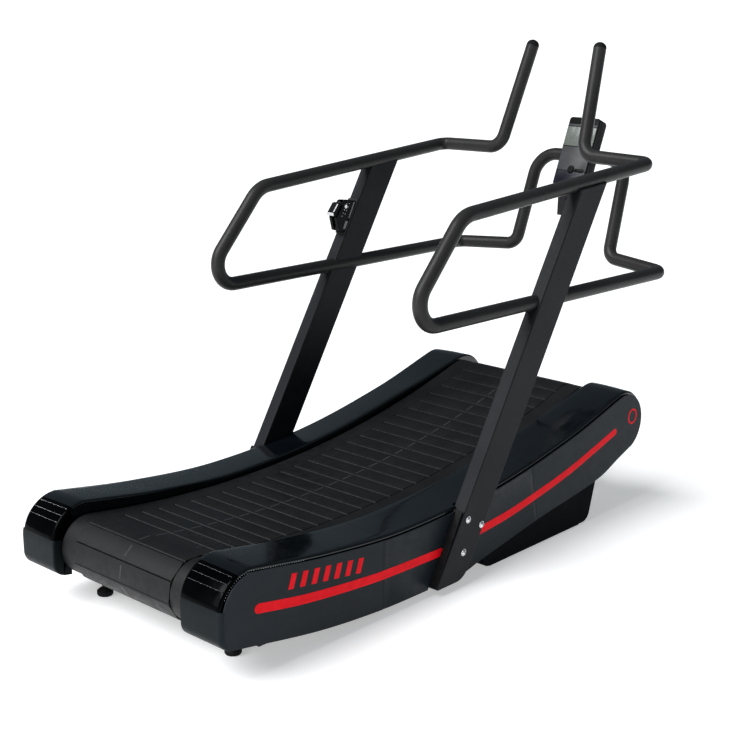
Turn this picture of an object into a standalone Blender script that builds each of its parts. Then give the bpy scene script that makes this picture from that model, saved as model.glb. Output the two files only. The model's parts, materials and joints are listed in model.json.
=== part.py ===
"""Curved manual treadmill: steel frame, slat belt on two drums, magnetic brake, rails, console and covers.

Metres, +Z up, +X towards the front (where the console is), +Y to the runner's left.
The origin is on the floor, under the middle of the whole object.
"""

import math

import bmesh
import bpy
from mathutils import Matrix, Vector

# ---------------------------------------------------------------- driving dimensions
GAP = 0.0004               # between touching pieces
CENTRE_SHIFT = 0.0042       # puts the origin under the middle of the finished length
SIDES = {"right": -1, "left": 1}

# Running surface: a shallow dish, an arc of one circle seen from the side.
DISH_RADIUS = 3.2
DISH_X = -0.381            # where the dish is lowest
DISH_Z = 0.204
BELT_HALF_WIDTH = 0.234
BELT_THICK = 0.016
SLAT_PITCH = 0.0564
REAR_TANGENT_X = -0.856    # where the dish runs onto each drum
FRONT_TANGENT_X = 0.579
REAR_BELT_RADIUS = 0.077
FRONT_BELT_RADIUS = 0.080
RETURN_RADIUS = 4.0        # sag of the belt's lower run

# Side covers.
COVER_IN = 0.240
COVER_OUT = 0.370
PANEL_OUT = 0.378
PANEL_THICK = 0.0035
PANEL_STEP = 0.07          # between points along a panel's long edges
SKIN = 0.003
INNER_DROP = 0.034         # depth of the covers' side next to the belt
LIP_DROP = 0.013           # depth of their outer lip
CAP_CENTRE = (-0.864, 0.170)
CAP_RADIUS = 0.100
NOSE_CENTRE = (0.634, 0.264)
NOSE_RADIUS = 0.097
SEAM_REAR_X = -0.431
SEAM_FRONT_TOP_X = 0.172
SEAM_FRONT_LOW_X = 0.205
CAP_EDGE_Z = 0.193         # lower edge of the rear top cover, on the back of the cap
CAP_EDGE_ANGLE = math.asin((CAP_EDGE_Z - CAP_CENTRE[1]) / CAP_RADIUS)
CAP_TOP_ANGLE = math.radians(98.4)
NOSE_TOP_ANGLE = math.radians(107.0)
TRIM_DROP = 0.007          # the panel's top edge sits this far inside the cover's rim

# Main beams: channels that run along each side, open towards the belt.
BEAM_IN = 0.3165
BEAM_OUT = 0.3565
BEAM_WALL = 0.004
BEAM_DROP = 0.016          # under the running surface
BEAM_DEEP = 0.115
BEAM_REAR_X = -0.915
BEAM_FRONT_X = 0.640
WEB = BEAM_OUT - BEAM_WALL # inner face of the beam's web

# Uprights: 40 x 100 mm rectangular tube, leaning forwards.
POST_IN = 0.3607
POST_OUT = 0.400
POST_WALL = 0.003
POST_FOOT_X = -0.2695      # rear face at floor level
POST_LEAN = 0.6003         # metres forwards for each metre up
POST_DEPTH_X = 0.1158      # measured along X
POST_LOW_Z = 0.020
POST_CORNER = 0.055

# Handrail tube.
RAIL_RADIUS = 0.0195
RAIL_WALL = 0.0025
RAIL_CLEAR = RAIL_RADIUS + 0.0006    # holes and saddles that the rail lies in
HORN_TIP = (0.793, 0.123, 1.335)
HORN_BASE = (0.683, 0.153, 1.033)
UPPER_FRONT = (0.685, 0.382, 1.028)
UPPER_REAR = (-0.135, 0.366, 0.970)
LOWER_REAR = (-0.367, 0.366, 0.713)
LOWER_FRONT = (0.779, 0.382, 0.701)
LOWER_INNER = (0.810, 0.1762, 0.714)
BRIDGE_TOP = (0.9055, 0.1637, 0.998)
BRIDGE_JOINT_Z = 0.775

# Console: a narrow tall box on the bridge, facing the runner.
CONSOLE_FOOT = (0.825, 0.0, 0.915)
CONSOLE_LEAN = math.radians(23.1)
CONSOLE_TALL = 0.222
CONSOLE_HALF_WIDTH = 0.0565
CONSOLE_FACE = 0.012
CONSOLE_DEPTH = 0.0493

# Feet and base.
BASE_IN = 0.312
BASE_OUT = 0.3715
BASE_Z = 0.006
BASE_WALL = 0.004
REAR_FOOT = (-0.811, 0.245)
WHEEL_RADIUS = 0.032
WHEEL_AT = (0.405, 0.285)
WHEEL_AXLE_RADIUS = 0.009
WHEEL_LIFT = 0.003         # the wheels only touch the floor when the rear end is lifted

# Fasteners and the cable's way into the beam, as (x, z).
BOLTS = [(-0.130, 0.183), (-0.074, 0.154), (-0.147, 0.097)]
BOLT_HOLE = 0.0065
CABLE_HOLE = (-0.1645, 0.150)
CABLE_HOLE_RADIUS = 0.0055

# Tubes across the machine.
CROSS_TUBES = {"rear": -0.660, "middle": -0.205, "front": 0.400}
CROSS_TUBE_TALL = 0.035
CROSS_TUBE_HALF = 0.020
CROSS_TUBE_WALL = 0.003
FOOT_TUBE = (0.057, 0.0755)    # lower and upper face
LEG_HALF = 0.034
LEG_LOW = (0.071, 0.060)       # its lower edge follows the panel above it: rear and front corner
LEG_TOP = 0.135

# Running gear.
GUIDE_RAIL_LOW = 0.059     # lower edge of the guide rails, under the running surface
ROLLERS = 10               # support rollers on each guide rail
AXLE_RADIUS = 0.012
JOURNAL_RADIUS = 0.010     # of the axle's ends, in the bearings
BEARING_RADIUS = 0.0198
DRUM_HALF_WIDTH = 0.215
DRUM_WALL = 0.004
DRUM_WEB = 0.008           # thickness of the two discs that join a drum's shell to its hub
DRUM_HUB = 0.024
DRUM_HOLES = 4

# Magnetic brake.
FLYWHEEL_RADIUS = 0.068
FLYWHEEL_Y = (0.266, 0.284)
ARM_Y = (0.2585, 0.2915)

# Resistance lever on the left upright, and the display and button on the console.
LEVER_Z = 0.850
WINDOW = (0.128, 0.204)
BUTTON_UP = 0.0535
BUTTON_RADIUS = 0.0115


# ---------------------------------------------------------------- small geometry helpers
def smooth_through(points):
    """A function of x that runs smoothly through the points, a cubic between each pair."""
    xs = [p[0] for p in points]
    zs = [p[1] for p in points]
    slopes = []
    for i in range(len(xs)):
        a = max(i - 1, 0)
        b = min(i + 1, len(xs) - 1)
        slopes.append((zs[b] - zs[a]) / (xs[b] - xs[a]))

    def value(x):
        i = 0
        while i < len(xs) - 2 and x > xs[i + 1]:
            i += 1
        span = xs[i + 1] - xs[i]
        t = (x - xs[i]) / span
        start = (2 * t**3 - 3 * t**2 + 1) * zs[i] + (t**3 - 2 * t**2 + t) * span * slopes[i]
        end = (3 * t**2 - 2 * t**3) * zs[i + 1] + (t**3 - t**2) * span * slopes[i + 1]
        return start + end

    return value


cover_top = smooth_through([
    (-0.866, 0.270), (-0.616, 0.233), (-0.336, 0.212), (0.024, 0.231), (0.364, 0.291), (0.604, 0.3565),
])
cover_low = smooth_through([
    (-0.915, 0.090), (-0.659, 0.046), (-0.449, 0.026), (-0.266, 0.021), (-0.116, 0.023),
    (-0.053, 0.036), (0.214, 0.083), (0.507, 0.126), (0.620, 0.168),
])


def belt_z(x):
    """Height of the running surface."""
    return DISH_Z + DISH_RADIUS - math.sqrt(DISH_RADIUS**2 - (x - DISH_X) ** 2)


def under_belt(x, depth):
    """The point this far under the running surface, square to it."""
    turn = math.asin((x - DISH_X) / DISH_RADIUS)
    reach = DISH_RADIUS + depth
    return (DISH_X + reach * math.sin(turn), DISH_Z + DISH_RADIUS - reach * math.cos(turn))


def spread(low, high, count):
    return [low + (high - low) * i / (count - 1) for i in range(count)]


def arc(centre, radius, start, end, count):
    """Points on a circle in the XZ plane; angles in radians, from +X towards +Z."""
    return [
        (centre[0] + radius * math.cos(a), centre[1] + radius * math.sin(a))
        for a in spread(start, end, count)
    ]


def post_rear_x(z):
    return POST_FOOT_X + POST_LEAN * z


def drum_centre(tangent_x, belt_radius):
    """Centre of a drum whose belt leaves it on the dish's arc, tangent to it."""
    towards = Vector((tangent_x - DISH_X, belt_z(tangent_x) - DISH_Z - DISH_RADIUS)).normalized()
    point = Vector((tangent_x, belt_z(tangent_x))) + towards * belt_radius
    return (point.x, point.y)


REAR_DRUM = drum_centre(REAR_TANGENT_X, REAR_BELT_RADIUS)
FRONT_DRUM = drum_centre(FRONT_TANGENT_X, FRONT_BELT_RADIUS)
ARM_PIVOT = (FRONT_DRUM[0] - 0.0704, FRONT_DRUM[1] - 0.0440)


# ---------------------------------------------------------------- Blender helpers
def clear_scene():
    for obj in list(bpy.data.objects):
        bpy.data.objects.remove(obj, do_unlink=True)


def material(name, colour, roughness, metallic=0.0):
    found = bpy.data.materials.get(name)
    if found:
        return found
    made = bpy.data.materials.new(name)
    made.use_nodes = True
    shader = made.node_tree.nodes["Principled BSDF"]
    shader.inputs["Base Color"].default_value = (*colour, 1.0)
    shader.inputs["Roughness"].default_value = roughness
    shader.inputs["Metallic"].default_value = metallic
    return made


def gloss_black():
    return material("gloss_black", (0.010, 0.011, 0.014), 0.12)


def panel_grey():
    return material("panel_grey", (0.030, 0.035, 0.042), 0.35)


def black_steel():
    return material("black_steel", (0.012, 0.012, 0.013), 0.42, 0.2)


def rail_black():
    return material("rail_black", (0.016, 0.016, 0.016), 0.50)


def bare_steel():
    return material("bare_steel", (0.55, 0.55, 0.56), 0.30, 1.0)


def alloy():
    return material("alloy", (0.70, 0.70, 0.72), 0.35, 1.0)


def rubber():
    return material("rubber", (0.012, 0.012, 0.013), 0.80)


def belt_rubber():
    return material("belt_rubber", (0.022, 0.022, 0.024), 0.62)


def plastic_black():
    return material("plastic_black", (0.014, 0.014, 0.015), 0.40)


def face_grey():
    return material("face_grey", (0.080, 0.080, 0.085), 0.45)


def screen_grey():
    return material("screen_grey", (0.23, 0.25, 0.23), 0.15)


def new_object(name, bm, paint, side=1, smooth_angle=30, pivot=(0, 0, 0)):
    """Makes the object from the bmesh, mirrored to the right-hand side when side is -1."""
    shift = Vector(pivot)
    for vertex in bm.verts:
        vertex.co = vertex.co - shift
    if side < 0:
        for vertex in bm.verts:
            vertex.co.y = -vertex.co.y
    bmesh.ops.remove_doubles(bm, verts=bm.verts, dist=1e-6)
    bmesh.ops.recalc_face_normals(bm, faces=bm.faces)
    if bm.calc_volume(signed=True) < 0:
        bmesh.ops.reverse_faces(bm, faces=bm.faces)
    mesh = bpy.data.meshes.new(name)
    bm.to_mesh(mesh)
    bm.free()
    mesh.shade_smooth()
    mesh.set_sharp_from_angle(angle=math.radians(smooth_angle))
    mesh.materials.append(paint)
    obj = bpy.data.objects.new(name, mesh)
    obj.location = (shift.x, shift.y * side, shift.z)
    bpy.context.scene.collection.objects.link(obj)
    return obj


def add_prism(bm, outline, y_low, y_high):
    """A closed XZ outline made solid between two Y planes."""
    near = [bm.verts.new((x, y_low, z)) for x, z in outline]
    far = [bm.verts.new((x, y_high, z)) for x, z in outline]
    bm.faces.new(near)
    bm.faces.new(list(reversed(far)))
    for i in range(len(outline)):
        j = (i + 1) % len(outline)
        bm.faces.new((near[i], far[i], far[j], near[j]))


def prism(name, outline, y_low, y_high, paint, side=1, pivot=(0, 0, 0)):
    bm = bmesh.new()
    add_prism(bm, outline, y_low, y_high)
    return new_object(name, bm, paint, side, pivot=pivot)


def box_outline(x_low, x_high, z_low, z_high, chamfer=0.0):
    c = chamfer
    if not c:
        return [(x_low, z_low), (x_high, z_low), (x_high, z_high), (x_low, z_high)]
    return [
        (x_low + c, z_low), (x_high - c, z_low), (x_high, z_low + c), (x_high, z_high - c),
        (x_high - c, z_high), (x_low + c, z_high), (x_low, z_high - c), (x_low, z_low + c),
    ]


def turned(bm, profile, centre, sides):
    """Turns a profile of (radius, y) pairs round the Y line through centre (x, z)."""
    rings = []
    for radius, y in profile:
        if radius < 1e-6:
            rings.append([bm.verts.new((centre[0], y, centre[1]))])
            continue
        ring = []
        for k in range(sides):
            a = 2 * math.pi * k / sides
            place = (centre[0] + radius * math.cos(a), y, centre[1] + radius * math.sin(a))
            ring.append(bm.verts.new(place))
        rings.append(ring)
    closed = profile[0][0] > 1e-6 and profile[-1][0] > 1e-6
    pairs = list(zip(rings, rings[1:]))
    if closed:
        pairs.append((rings[-1], rings[0]))
    for a, b in pairs:
        for k in range(sides):
            m = (k + 1) % sides
            if len(a) == 1:
                bm.faces.new((a[0], b[k], b[m]))
            elif len(b) == 1:
                bm.faces.new((a[k], a[m], b[0]))
            else:
                bm.faces.new((a[k], a[m], b[m], b[k]))


def turned_object(name, profile, centre, paint, side=1, sides=24, pivot=None):
    bm = bmesh.new()
    turned(bm, profile, centre, sides)
    return new_object(name, bm, paint, side, pivot=pivot or (0, 0, 0))


def cutter(name, bm, side=1):
    obj = new_object(name, bm, bare_steel(), side)
    obj.hide_render = True
    obj.display_type = "WIRE"
    return obj


def boolean(target, other, operation="DIFFERENCE"):
    modifier = target.modifiers.new(other.name, "BOOLEAN")
    modifier.object = other
    modifier.operation = operation
    modifier.solver = "EXACT"


def cylinder_cutter(name, start, end, radius, side=1, sides=24):
    """A closed cylinder between two points in space."""
    bm = bmesh.new()
    a = Vector(start)
    b = Vector(end)
    turn = (b - a).to_track_quat("Z", "Y").to_matrix().to_4x4()
    place = Matrix.Translation((a + b) / 2) @ turn
    bmesh.ops.create_cone(
        bm, cap_ends=True, segments=sides, radius1=radius, radius2=radius, depth=(b - a).length,
        matrix=place,
    )
    return cutter(name, bm, side)


def bolt_holes(side):
    """(centre, radius) of the holes for the upright's screws and, on the left, for the brake cable."""
    holes = [(at, BOLT_HOLE) for at in BOLTS]
    if side > 0:
        holes.append((CABLE_HOLE, CABLE_HOLE_RADIUS))
    return holes


def cut_holes(target, name, holes, y_low, y_high, side, sides):
    """Drills (centre, radius) holes along Y, centre being (x, z)."""
    for i, ((x, z), radius) in enumerate(holes):
        ends = ((x, y_low, z), (x, y_high, z))
        boolean(target, cylinder_cutter(f"cut_{name}_hole_{i}", *ends, radius, side, sides))


def rounded_path(corners, radii, steps):
    """Points along straight runs with each inner corner replaced by an arc of its own radius."""
    points = [Vector(corners[0])]
    for i in range(1, len(corners) - 1):
        here = Vector(corners[i])
        back = (Vector(corners[i - 1]) - here).normalized()
        ahead = (Vector(corners[i + 1]) - here).normalized()
        half = back.angle(ahead) / 2
        radius = radii[i - 1]
        reach = radius / math.tan(half)
        centre = here + (back + ahead).normalized() * (radius / math.sin(half))
        first = here + back * reach - centre
        last = here + ahead * reach - centre
        axis = first.cross(last).normalized()
        sweep = first.angle(last)
        for k in range(steps + 1):
            points.append(centre + Matrix.Rotation(sweep * k / steps, 3, axis) @ first)
    points.append(Vector(corners[-1]))
    return points


def tube(name, points, radius, paint, side=1, resolution=2):
    """A round tube as a bevelled curve with filled ends."""
    curve = bpy.data.curves.new(name, "CURVE")
    curve.dimensions = "3D"
    curve.bevel_depth = radius
    curve.bevel_resolution = resolution
    curve.use_fill_caps = True
    curve.twist_mode = "MINIMUM"
    spline = curve.splines.new("POLY")
    spline.points.add(len(points) - 1)
    for target, point in zip(spline.points, points):
        target.co = (point[0], point[1] * side, point[2], 1.0)
    curve.materials.append(paint)
    obj = bpy.data.objects.new(name, curve)
    bpy.context.scene.collection.objects.link(obj)
    return obj


def pipe(name, points, radius, wall, paint, side=1, sides=8):
    """A hollow round tube along the points, open at both ends; its rings turn no more than the path does."""
    path = [Vector((p[0], p[1] * side, p[2])) for p in points]
    last = len(path) - 1
    along = (path[1] - path[0]).normalized()
    across = along.orthogonal().normalized()
    bm = bmesh.new()
    shells = {radius: [], radius - wall: []}
    for i, point in enumerate(path):
        ahead = (path[min(i + 1, last)] - path[max(i - 1, 0)]).normalized()
        across = (along.rotation_difference(ahead) @ across).normalized()
        along = ahead
        upward = along.cross(across)
        turns = [2 * math.pi * k / sides for k in range(sides)]
        round_it = [across * math.cos(a) + upward * math.sin(a) for a in turns]
        for reach, rings in shells.items():
            rings.append([bm.verts.new(point + direction * reach) for direction in round_it])
    outer, inner = shells.values()
    for k in range(sides):
        m = (k + 1) % sides
        for rings in (outer, inner):
            for a, b in zip(rings, rings[1:]):
                bm.faces.new((a[k], a[m], b[m], b[k]))
        for end in (0, last):
            bm.faces.new((outer[end][k], outer[end][m], inner[end][m], inner[end][k]))
    return new_object(name, bm, paint, smooth_angle=50)


# ---------------------------------------------------------------- cover surfaces
def crown(x):
    """How much higher the cover's inner edge is than its outer edge."""
    rise = min(max((x + 0.60) / 0.90, 0.0), 1.0)
    fall = min(max((0.62 - x) / 0.25, 0.0), 1.0)
    return 0.003 + 0.014 * rise * rise * (3 - 2 * rise) * fall


def arc_stations(centre, radius, start, end, count):
    """Stations (x, z, outward normal) on an arc."""
    return [
        (centre[0] + radius * math.cos(a), centre[1] + radius * math.sin(a), (math.cos(a), math.sin(a)))
        for a in spread(start, end, count)
    ]


def run_station(x):
    """A station on the long top run of the rim."""
    slope = (cover_top(x + 0.002) - cover_top(x - 0.002)) / 0.004
    long = math.hypot(slope, 1.0)
    return (x, cover_top(x), (-slope / long, 1.0 / long))


def rim_path(start, end):
    """Stations along the cover's rim between two named places."""
    cap = arc_stations(CAP_CENTRE, CAP_RADIUS, math.pi - CAP_EDGE_ANGLE, CAP_TOP_ANGLE, 8)
    nose = arc_stations(NOSE_CENTRE, NOSE_RADIUS, NOSE_TOP_ANGLE, math.radians(-92), 14)
    places = {
        "cap": cap[-1][0], "rear_seam": SEAM_REAR_X, "front_seam": SEAM_FRONT_TOP_X, "nose": nose[0][0],
    }
    low = places[start]
    high = places[end]
    stations = [run_station(x) for x in spread(low, high, max(4, round((high - low) / 0.06)))]
    if start == "cap":
        stations = cap + stations[1:]
    if end == "nose":
        stations = stations[:-1] + nose
    return stations


def sweep_section(stations, section):
    """Sweeps a closed (y, n) section, given by a function of x, along the stations."""
    bm = bmesh.new()
    rings = []
    for x, z, (nx, nz) in stations:
        rings.append([bm.verts.new((x + nx * n, y, z + nz * n)) for y, n in section(x)])
    count = len(rings[0])
    for a, b in zip(rings, rings[1:]):
        for i in range(count):
            j = (i + 1) % count
            bm.faces.new((a[i], a[j], b[j], b[i]))
    bm.faces.new(rings[0])
    bm.faces.new(list(reversed(rings[-1])))
    return bm


def cover_section(x):
    """Down the side next to the belt, over the top, and down the short outer lip."""
    c = crown(x)
    return [
        (COVER_IN, -INNER_DROP), (COVER_IN, c - 0.003), (COVER_IN + 0.004, c), (COVER_OUT - 0.006, 0.0015),
        (COVER_OUT, -0.003), (COVER_OUT, -LIP_DROP), (COVER_OUT - SKIN, -LIP_DROP),
        (COVER_OUT - SKIN, -SKIN - 0.001), (COVER_IN + SKIN, c - SKIN), (COVER_IN + SKIN, -INNER_DROP),
    ]


def post_channel(clearance):
    """Outline that clears the upright where it passes down through the covers."""
    low, high = -0.05, 0.45
    return [
        (post_rear_x(low) - clearance, low), (post_rear_x(low) + POST_DEPTH_X + clearance, low),
        (post_rear_x(high) + POST_DEPTH_X + clearance, high), (post_rear_x(high) - clearance, high),
    ]


def make_top_covers(side_name, side):
    sections = {
        "rear": ("cap", "rear_seam"), "middle": ("rear_seam", "front_seam"), "front": ("front_seam", "nose"),
    }
    for part, (start, end) in sections.items():
        stations = rim_path(start, end)
        if start != "cap":
            x, z, n = stations[0]
            stations[0] = (x + GAP, z, n)
        bm = sweep_section(stations, cover_section)
        cover = new_object(f"{side_name}_{part}_cover", bm, gloss_black(), side)
        if part == "middle":
            bm = bmesh.new()
            add_prism(bm, post_channel(0.005), POST_IN - 0.006, 0.45)
            boolean(cover, cutter(f"cut_{side_name}_cover_post", bm, side))


def panel_top(x):
    return cover_top(x) - TRIM_DROP


def panel_plate(bm, x_top, x_low, extra_start=(), extra_end=()):
    """The outer plate of one panel section: along the top edge, then back along the lower edge."""
    count = max(4, round((x_top[1] - x_top[0]) / PANEL_STEP))
    top = [(x, panel_top(x)) for x in spread(x_top[0], x_top[1], count)]
    count = max(4, round((x_low[1] - x_low[0]) / PANEL_STEP))
    low = [(x, cover_low(x)) for x in spread(x_low[1], x_low[0], count)]
    add_prism(bm, top + list(extra_end) + low + list(extra_start), PANEL_OUT - PANEL_THICK, PANEL_OUT)


def wrap_section(_):
    """The same along the whole wrap."""
    outer = PANEL_OUT - 0.001
    return [
        (COVER_IN, -INNER_DROP), (COVER_IN, 0.0), (outer - 0.003, 0.0), (outer, -0.004),
        (outer, -0.010), (outer - 0.004, -0.010), (outer - 0.004, -SKIN),
        (COVER_IN + SKIN, -SKIN), (COVER_IN + SKIN, -INNER_DROP),
    ]


def make_rear_panel(side_name, side):
    """Rear side panel; below the cap's edge it wraps round the back of the machine."""
    radius = CAP_RADIUS - TRIM_DROP
    top_x = CAP_CENTRE[0] + radius * math.cos(CAP_TOP_ANGLE)
    back = arc(CAP_CENTRE, radius, math.pi, CAP_TOP_ANGLE, 10)[:-1]
    heel = arc((-0.920, 0.132), 0.037, math.radians(255), math.pi, 5)
    bm = bmesh.new()
    panel_plate(bm, (top_x, SEAM_REAR_X - GAP), (heel[0][0] + 0.004, SEAM_REAR_X - GAP), heel + back)
    panel = new_object(f"{side_name}_rear_panel", bm, panel_grey(), side)
    stations = arc_stations((-0.926, 0.130), 0.038, math.radians(255), math.radians(183), 6)
    stations += arc_stations(CAP_CENTRE, CAP_RADIUS, math.pi + 0.02, math.pi - CAP_EDGE_ANGLE + 0.008, 4)
    wrapped = cutter(f"join_{side_name}_rear_wrap", sweep_section(stations, wrap_section), side)
    boolean(panel, wrapped, "UNION")


def make_middle_panel(side_name, side):
    """Middle side panel, with the recessed channel that the upright stands in."""
    bm = bmesh.new()
    panel_plate(bm, (SEAM_REAR_X, SEAM_FRONT_TOP_X), (SEAM_REAR_X, SEAM_FRONT_LOW_X))
    panel = new_object(f"{side_name}_middle_panel", bm, panel_grey(), side)
    clear = 0.006
    wall = 0.003
    low, top = 0.030, 0.1970
    rear_low = post_rear_x(low) - clear - wall
    rear_top = post_rear_x(top) - clear - wall
    across = POST_DEPTH_X + 2 * (clear + wall)
    bm = bmesh.new()
    add_prism(bm, [
        (rear_low, low), (rear_low + across, low + 0.004), (rear_top + across, top + 0.010),
        (rear_top, top),
    ], BEAM_OUT + GAP, PANEL_OUT - 0.001)
    boolean(panel, cutter(f"join_{side_name}_panel_channel", bm, side), "UNION")
    bm = bmesh.new()
    add_prism(bm, post_channel(clear), POST_IN - GAP, 0.45)
    boolean(panel, cutter(f"cut_{side_name}_panel_post", bm, side))
    cut_holes(panel, f"{side_name}_panel", bolt_holes(side), 0.34, 0.365, side, 16)


def make_front_panel(side_name, side):
    radius = NOSE_RADIUS - TRIM_DROP
    top_x = NOSE_CENTRE[0] + radius * math.cos(NOSE_TOP_ANGLE)
    nose = arc(NOSE_CENTRE, radius, NOSE_TOP_ANGLE, math.radians(-62), 14)[1:]
    bm = bmesh.new()
    panel_plate(bm, (SEAM_FRONT_TOP_X + GAP, top_x), (SEAM_FRONT_LOW_X + GAP, 0.600), extra_end=nose)
    new_object(f"{side_name}_front_panel", bm, panel_grey(), side)


# ---------------------------------------------------------------- frame
def beam_top(x):
    return belt_z(x) - BEAM_DROP


def beam_outline(inset):
    xs = spread(BEAM_REAR_X + inset, BEAM_FRONT_X - inset, 26)
    top = [(x, beam_top(x) - inset) for x in xs]
    low = [(x, beam_top(x) - BEAM_DEEP + inset) for x in reversed(xs)]
    return top + low


def make_beam(side_name, side):
    """One main beam: a channel with a leg down to the rear foot tube and seats for the drum bearings."""
    bm = bmesh.new()
    add_prism(bm, beam_outline(0.0), BEAM_IN, BEAM_OUT)
    beam = new_object(f"{side_name}_side_frame", bm, black_steel(), side)
    bm = bmesh.new()
    add_prism(bm, beam_outline(BEAM_WALL), BEAM_IN - 0.05, WEB)
    boolean(beam, cutter(f"cut_{side_name}_beam_inside", bm, side))
    bm = bmesh.new()
    rear_x = REAR_FOOT[0] - LEG_HALF
    front_x = REAR_FOOT[0] + LEG_HALF
    leg = [(rear_x, LEG_LOW[0]), (front_x, LEG_LOW[1]), (front_x, LEG_TOP), (rear_x, LEG_TOP)]
    add_prism(bm, leg, WEB + 0.0005, BEAM_OUT - 0.0005)
    boolean(beam, cutter(f"join_{side_name}_beam_leg", bm, side), "UNION")
    seat = BEARING_RADIUS + GAP
    holes = bolt_holes(side) + [(REAR_DRUM, seat), (FRONT_DRUM, seat)]
    cut_holes(beam, f"{side_name}_beam", holes, 0.34, 0.37, side, 20)


def hollow_tube(name, x, low, high, half_length):
    """A rectangular tube across the machine, open at both ends."""
    wall = CROSS_TUBE_WALL
    half = CROSS_TUBE_HALF
    bm = bmesh.new()
    add_prism(bm, box_outline(x - half, x + half, low, high, 0.004), -half_length, half_length)
    obj = new_object(name, bm, black_steel())
    bm = bmesh.new()
    add_prism(bm, box_outline(x - half + wall, x + half - wall, low + wall, high - wall), -0.5, 0.5)
    boolean(obj, cutter(f"cut_{name}", bm))


def make_cross_tubes():
    """Three tubes under the guide rails, and the one low at the back that holds the rear feet."""
    for name, x in CROSS_TUBES.items():
        high = min(belt_z(x - CROSS_TUBE_HALF), belt_z(x + CROSS_TUBE_HALF)) - GUIDE_RAIL_LOW - GAP
        hollow_tube(f"{name}_cross_tube", x, high - CROSS_TUBE_TALL, high, WEB - GAP)
    hollow_tube("rear_foot_tube", REAR_FOOT[0], FOOT_TUBE[0], FOOT_TUBE[1], WEB - GAP)


def base_outline(inset):
    """Front support leg: flat on the floor, its top following the main beam's underside."""
    i = inset
    heel = arc((0.000, BASE_Z + 0.032), 0.032 - i, math.radians(215), math.radians(270), 4)
    toe = arc((0.440, BASE_Z + 0.034), 0.034 - i, math.radians(-90), math.radians(-16), 5)
    xs = spread(-0.020 + i, 0.5215 - i, 8)
    top = [(x, beam_top(x) - BEAM_DEEP - 0.0006 - i) for x in reversed(xs)]
    return heel + toe + top


def make_base(side_name, side):
    bm = bmesh.new()
    add_prism(bm, base_outline(0.0), BASE_IN, BASE_OUT)
    base = new_object(f"{side_name}_base_leg", bm, plastic_black(), side)
    bm = bmesh.new()
    add_prism(bm, base_outline(BASE_WALL), BASE_IN - 0.05, BASE_OUT - BASE_WALL)
    boolean(base, cutter(f"cut_{side_name}_base", bm, side))
    prism(f"{side_name}_front_foot", box_outline(0.010, 0.430, 0.0, BASE_Z - GAP, 0.001),
          BASE_IN + 0.006, BASE_OUT - 0.006, rubber(), side)


def make_wheels(side_name, side):
    """Transport wheels, just clear of the floor until the rear end is lifted."""
    centre = (WHEEL_AT[0], WHEEL_RADIUS + WHEEL_LIFT)
    y = WHEEL_AT[1]
    r = WHEEL_RADIUS
    bore = WHEEL_AXLE_RADIUS + 0.0003
    turned_object(f"{side_name}_transport_wheel", [
        (bore, y - 0.012), (r - 0.004, y - 0.012), (r, y - 0.008), (r, y + 0.008), (r - 0.004, y + 0.012),
        (bore, y + 0.012),
    ], centre, rubber(), side, 24, (centre[0], y, centre[1]))


def make_wheel_axle():
    """One bar between the two base legs carries both transport wheels, with a collar inside each wheel."""
    centre = (WHEEL_AT[0], WHEEL_RADIUS + WHEEL_LIFT)
    collar = WHEEL_AT[1] - 0.0125
    collar_width = 0.008
    r = WHEEL_AXLE_RADIUS
    wide = r + 0.006
    end = BASE_IN - GAP
    half = [
        (r, collar - collar_width), (wide, collar - collar_width), (wide, collar), (r, collar), (r, end),
        (0.0, end),
    ]
    other_half = [(radius, -y) for radius, y in reversed(half)]
    turned_object("transport_axle", other_half + half, centre, bare_steel(), 1, 20)


def make_rear_foot(side_name, side):
    """A levelling foot, whose screw stands under the foot tube."""
    x, y = REAR_FOOT
    bm = bmesh.new()
    top = FOOT_TUBE[0] - GAP
    turned(bm, [
        (0.0, 0.0), (0.019, 0.0), (0.021, 0.003), (0.021, 0.012), (0.014, 0.018), (0.007, 0.020),
        (0.007, top), (0.0, top),
    ], (0.0, 0.0), 20)
    bmesh.ops.rotate(bm, verts=bm.verts, cent=(0, 0, 0), matrix=Matrix.Rotation(math.radians(90), 3, "X"))
    bmesh.ops.translate(bm, verts=bm.verts, vec=(x, y, 0.0))
    new_object(f"{side_name}_rear_foot", bm, rubber(), side)


# ---------------------------------------------------------------- uprights and handrails
def post_top(depth_x, drop):
    """Where the upright's face that is depth_x in front of its rear face ends, under the upper rail."""
    slope = (UPPER_FRONT[2] - UPPER_REAR[2]) / (UPPER_FRONT[0] - UPPER_REAR[0])
    level = UPPER_REAR[2] + slope * (POST_FOOT_X + depth_x - UPPER_REAR[0]) - drop
    z = level / (1 - slope * POST_LEAN)
    return (post_rear_x(z) + depth_x, z)


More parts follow.
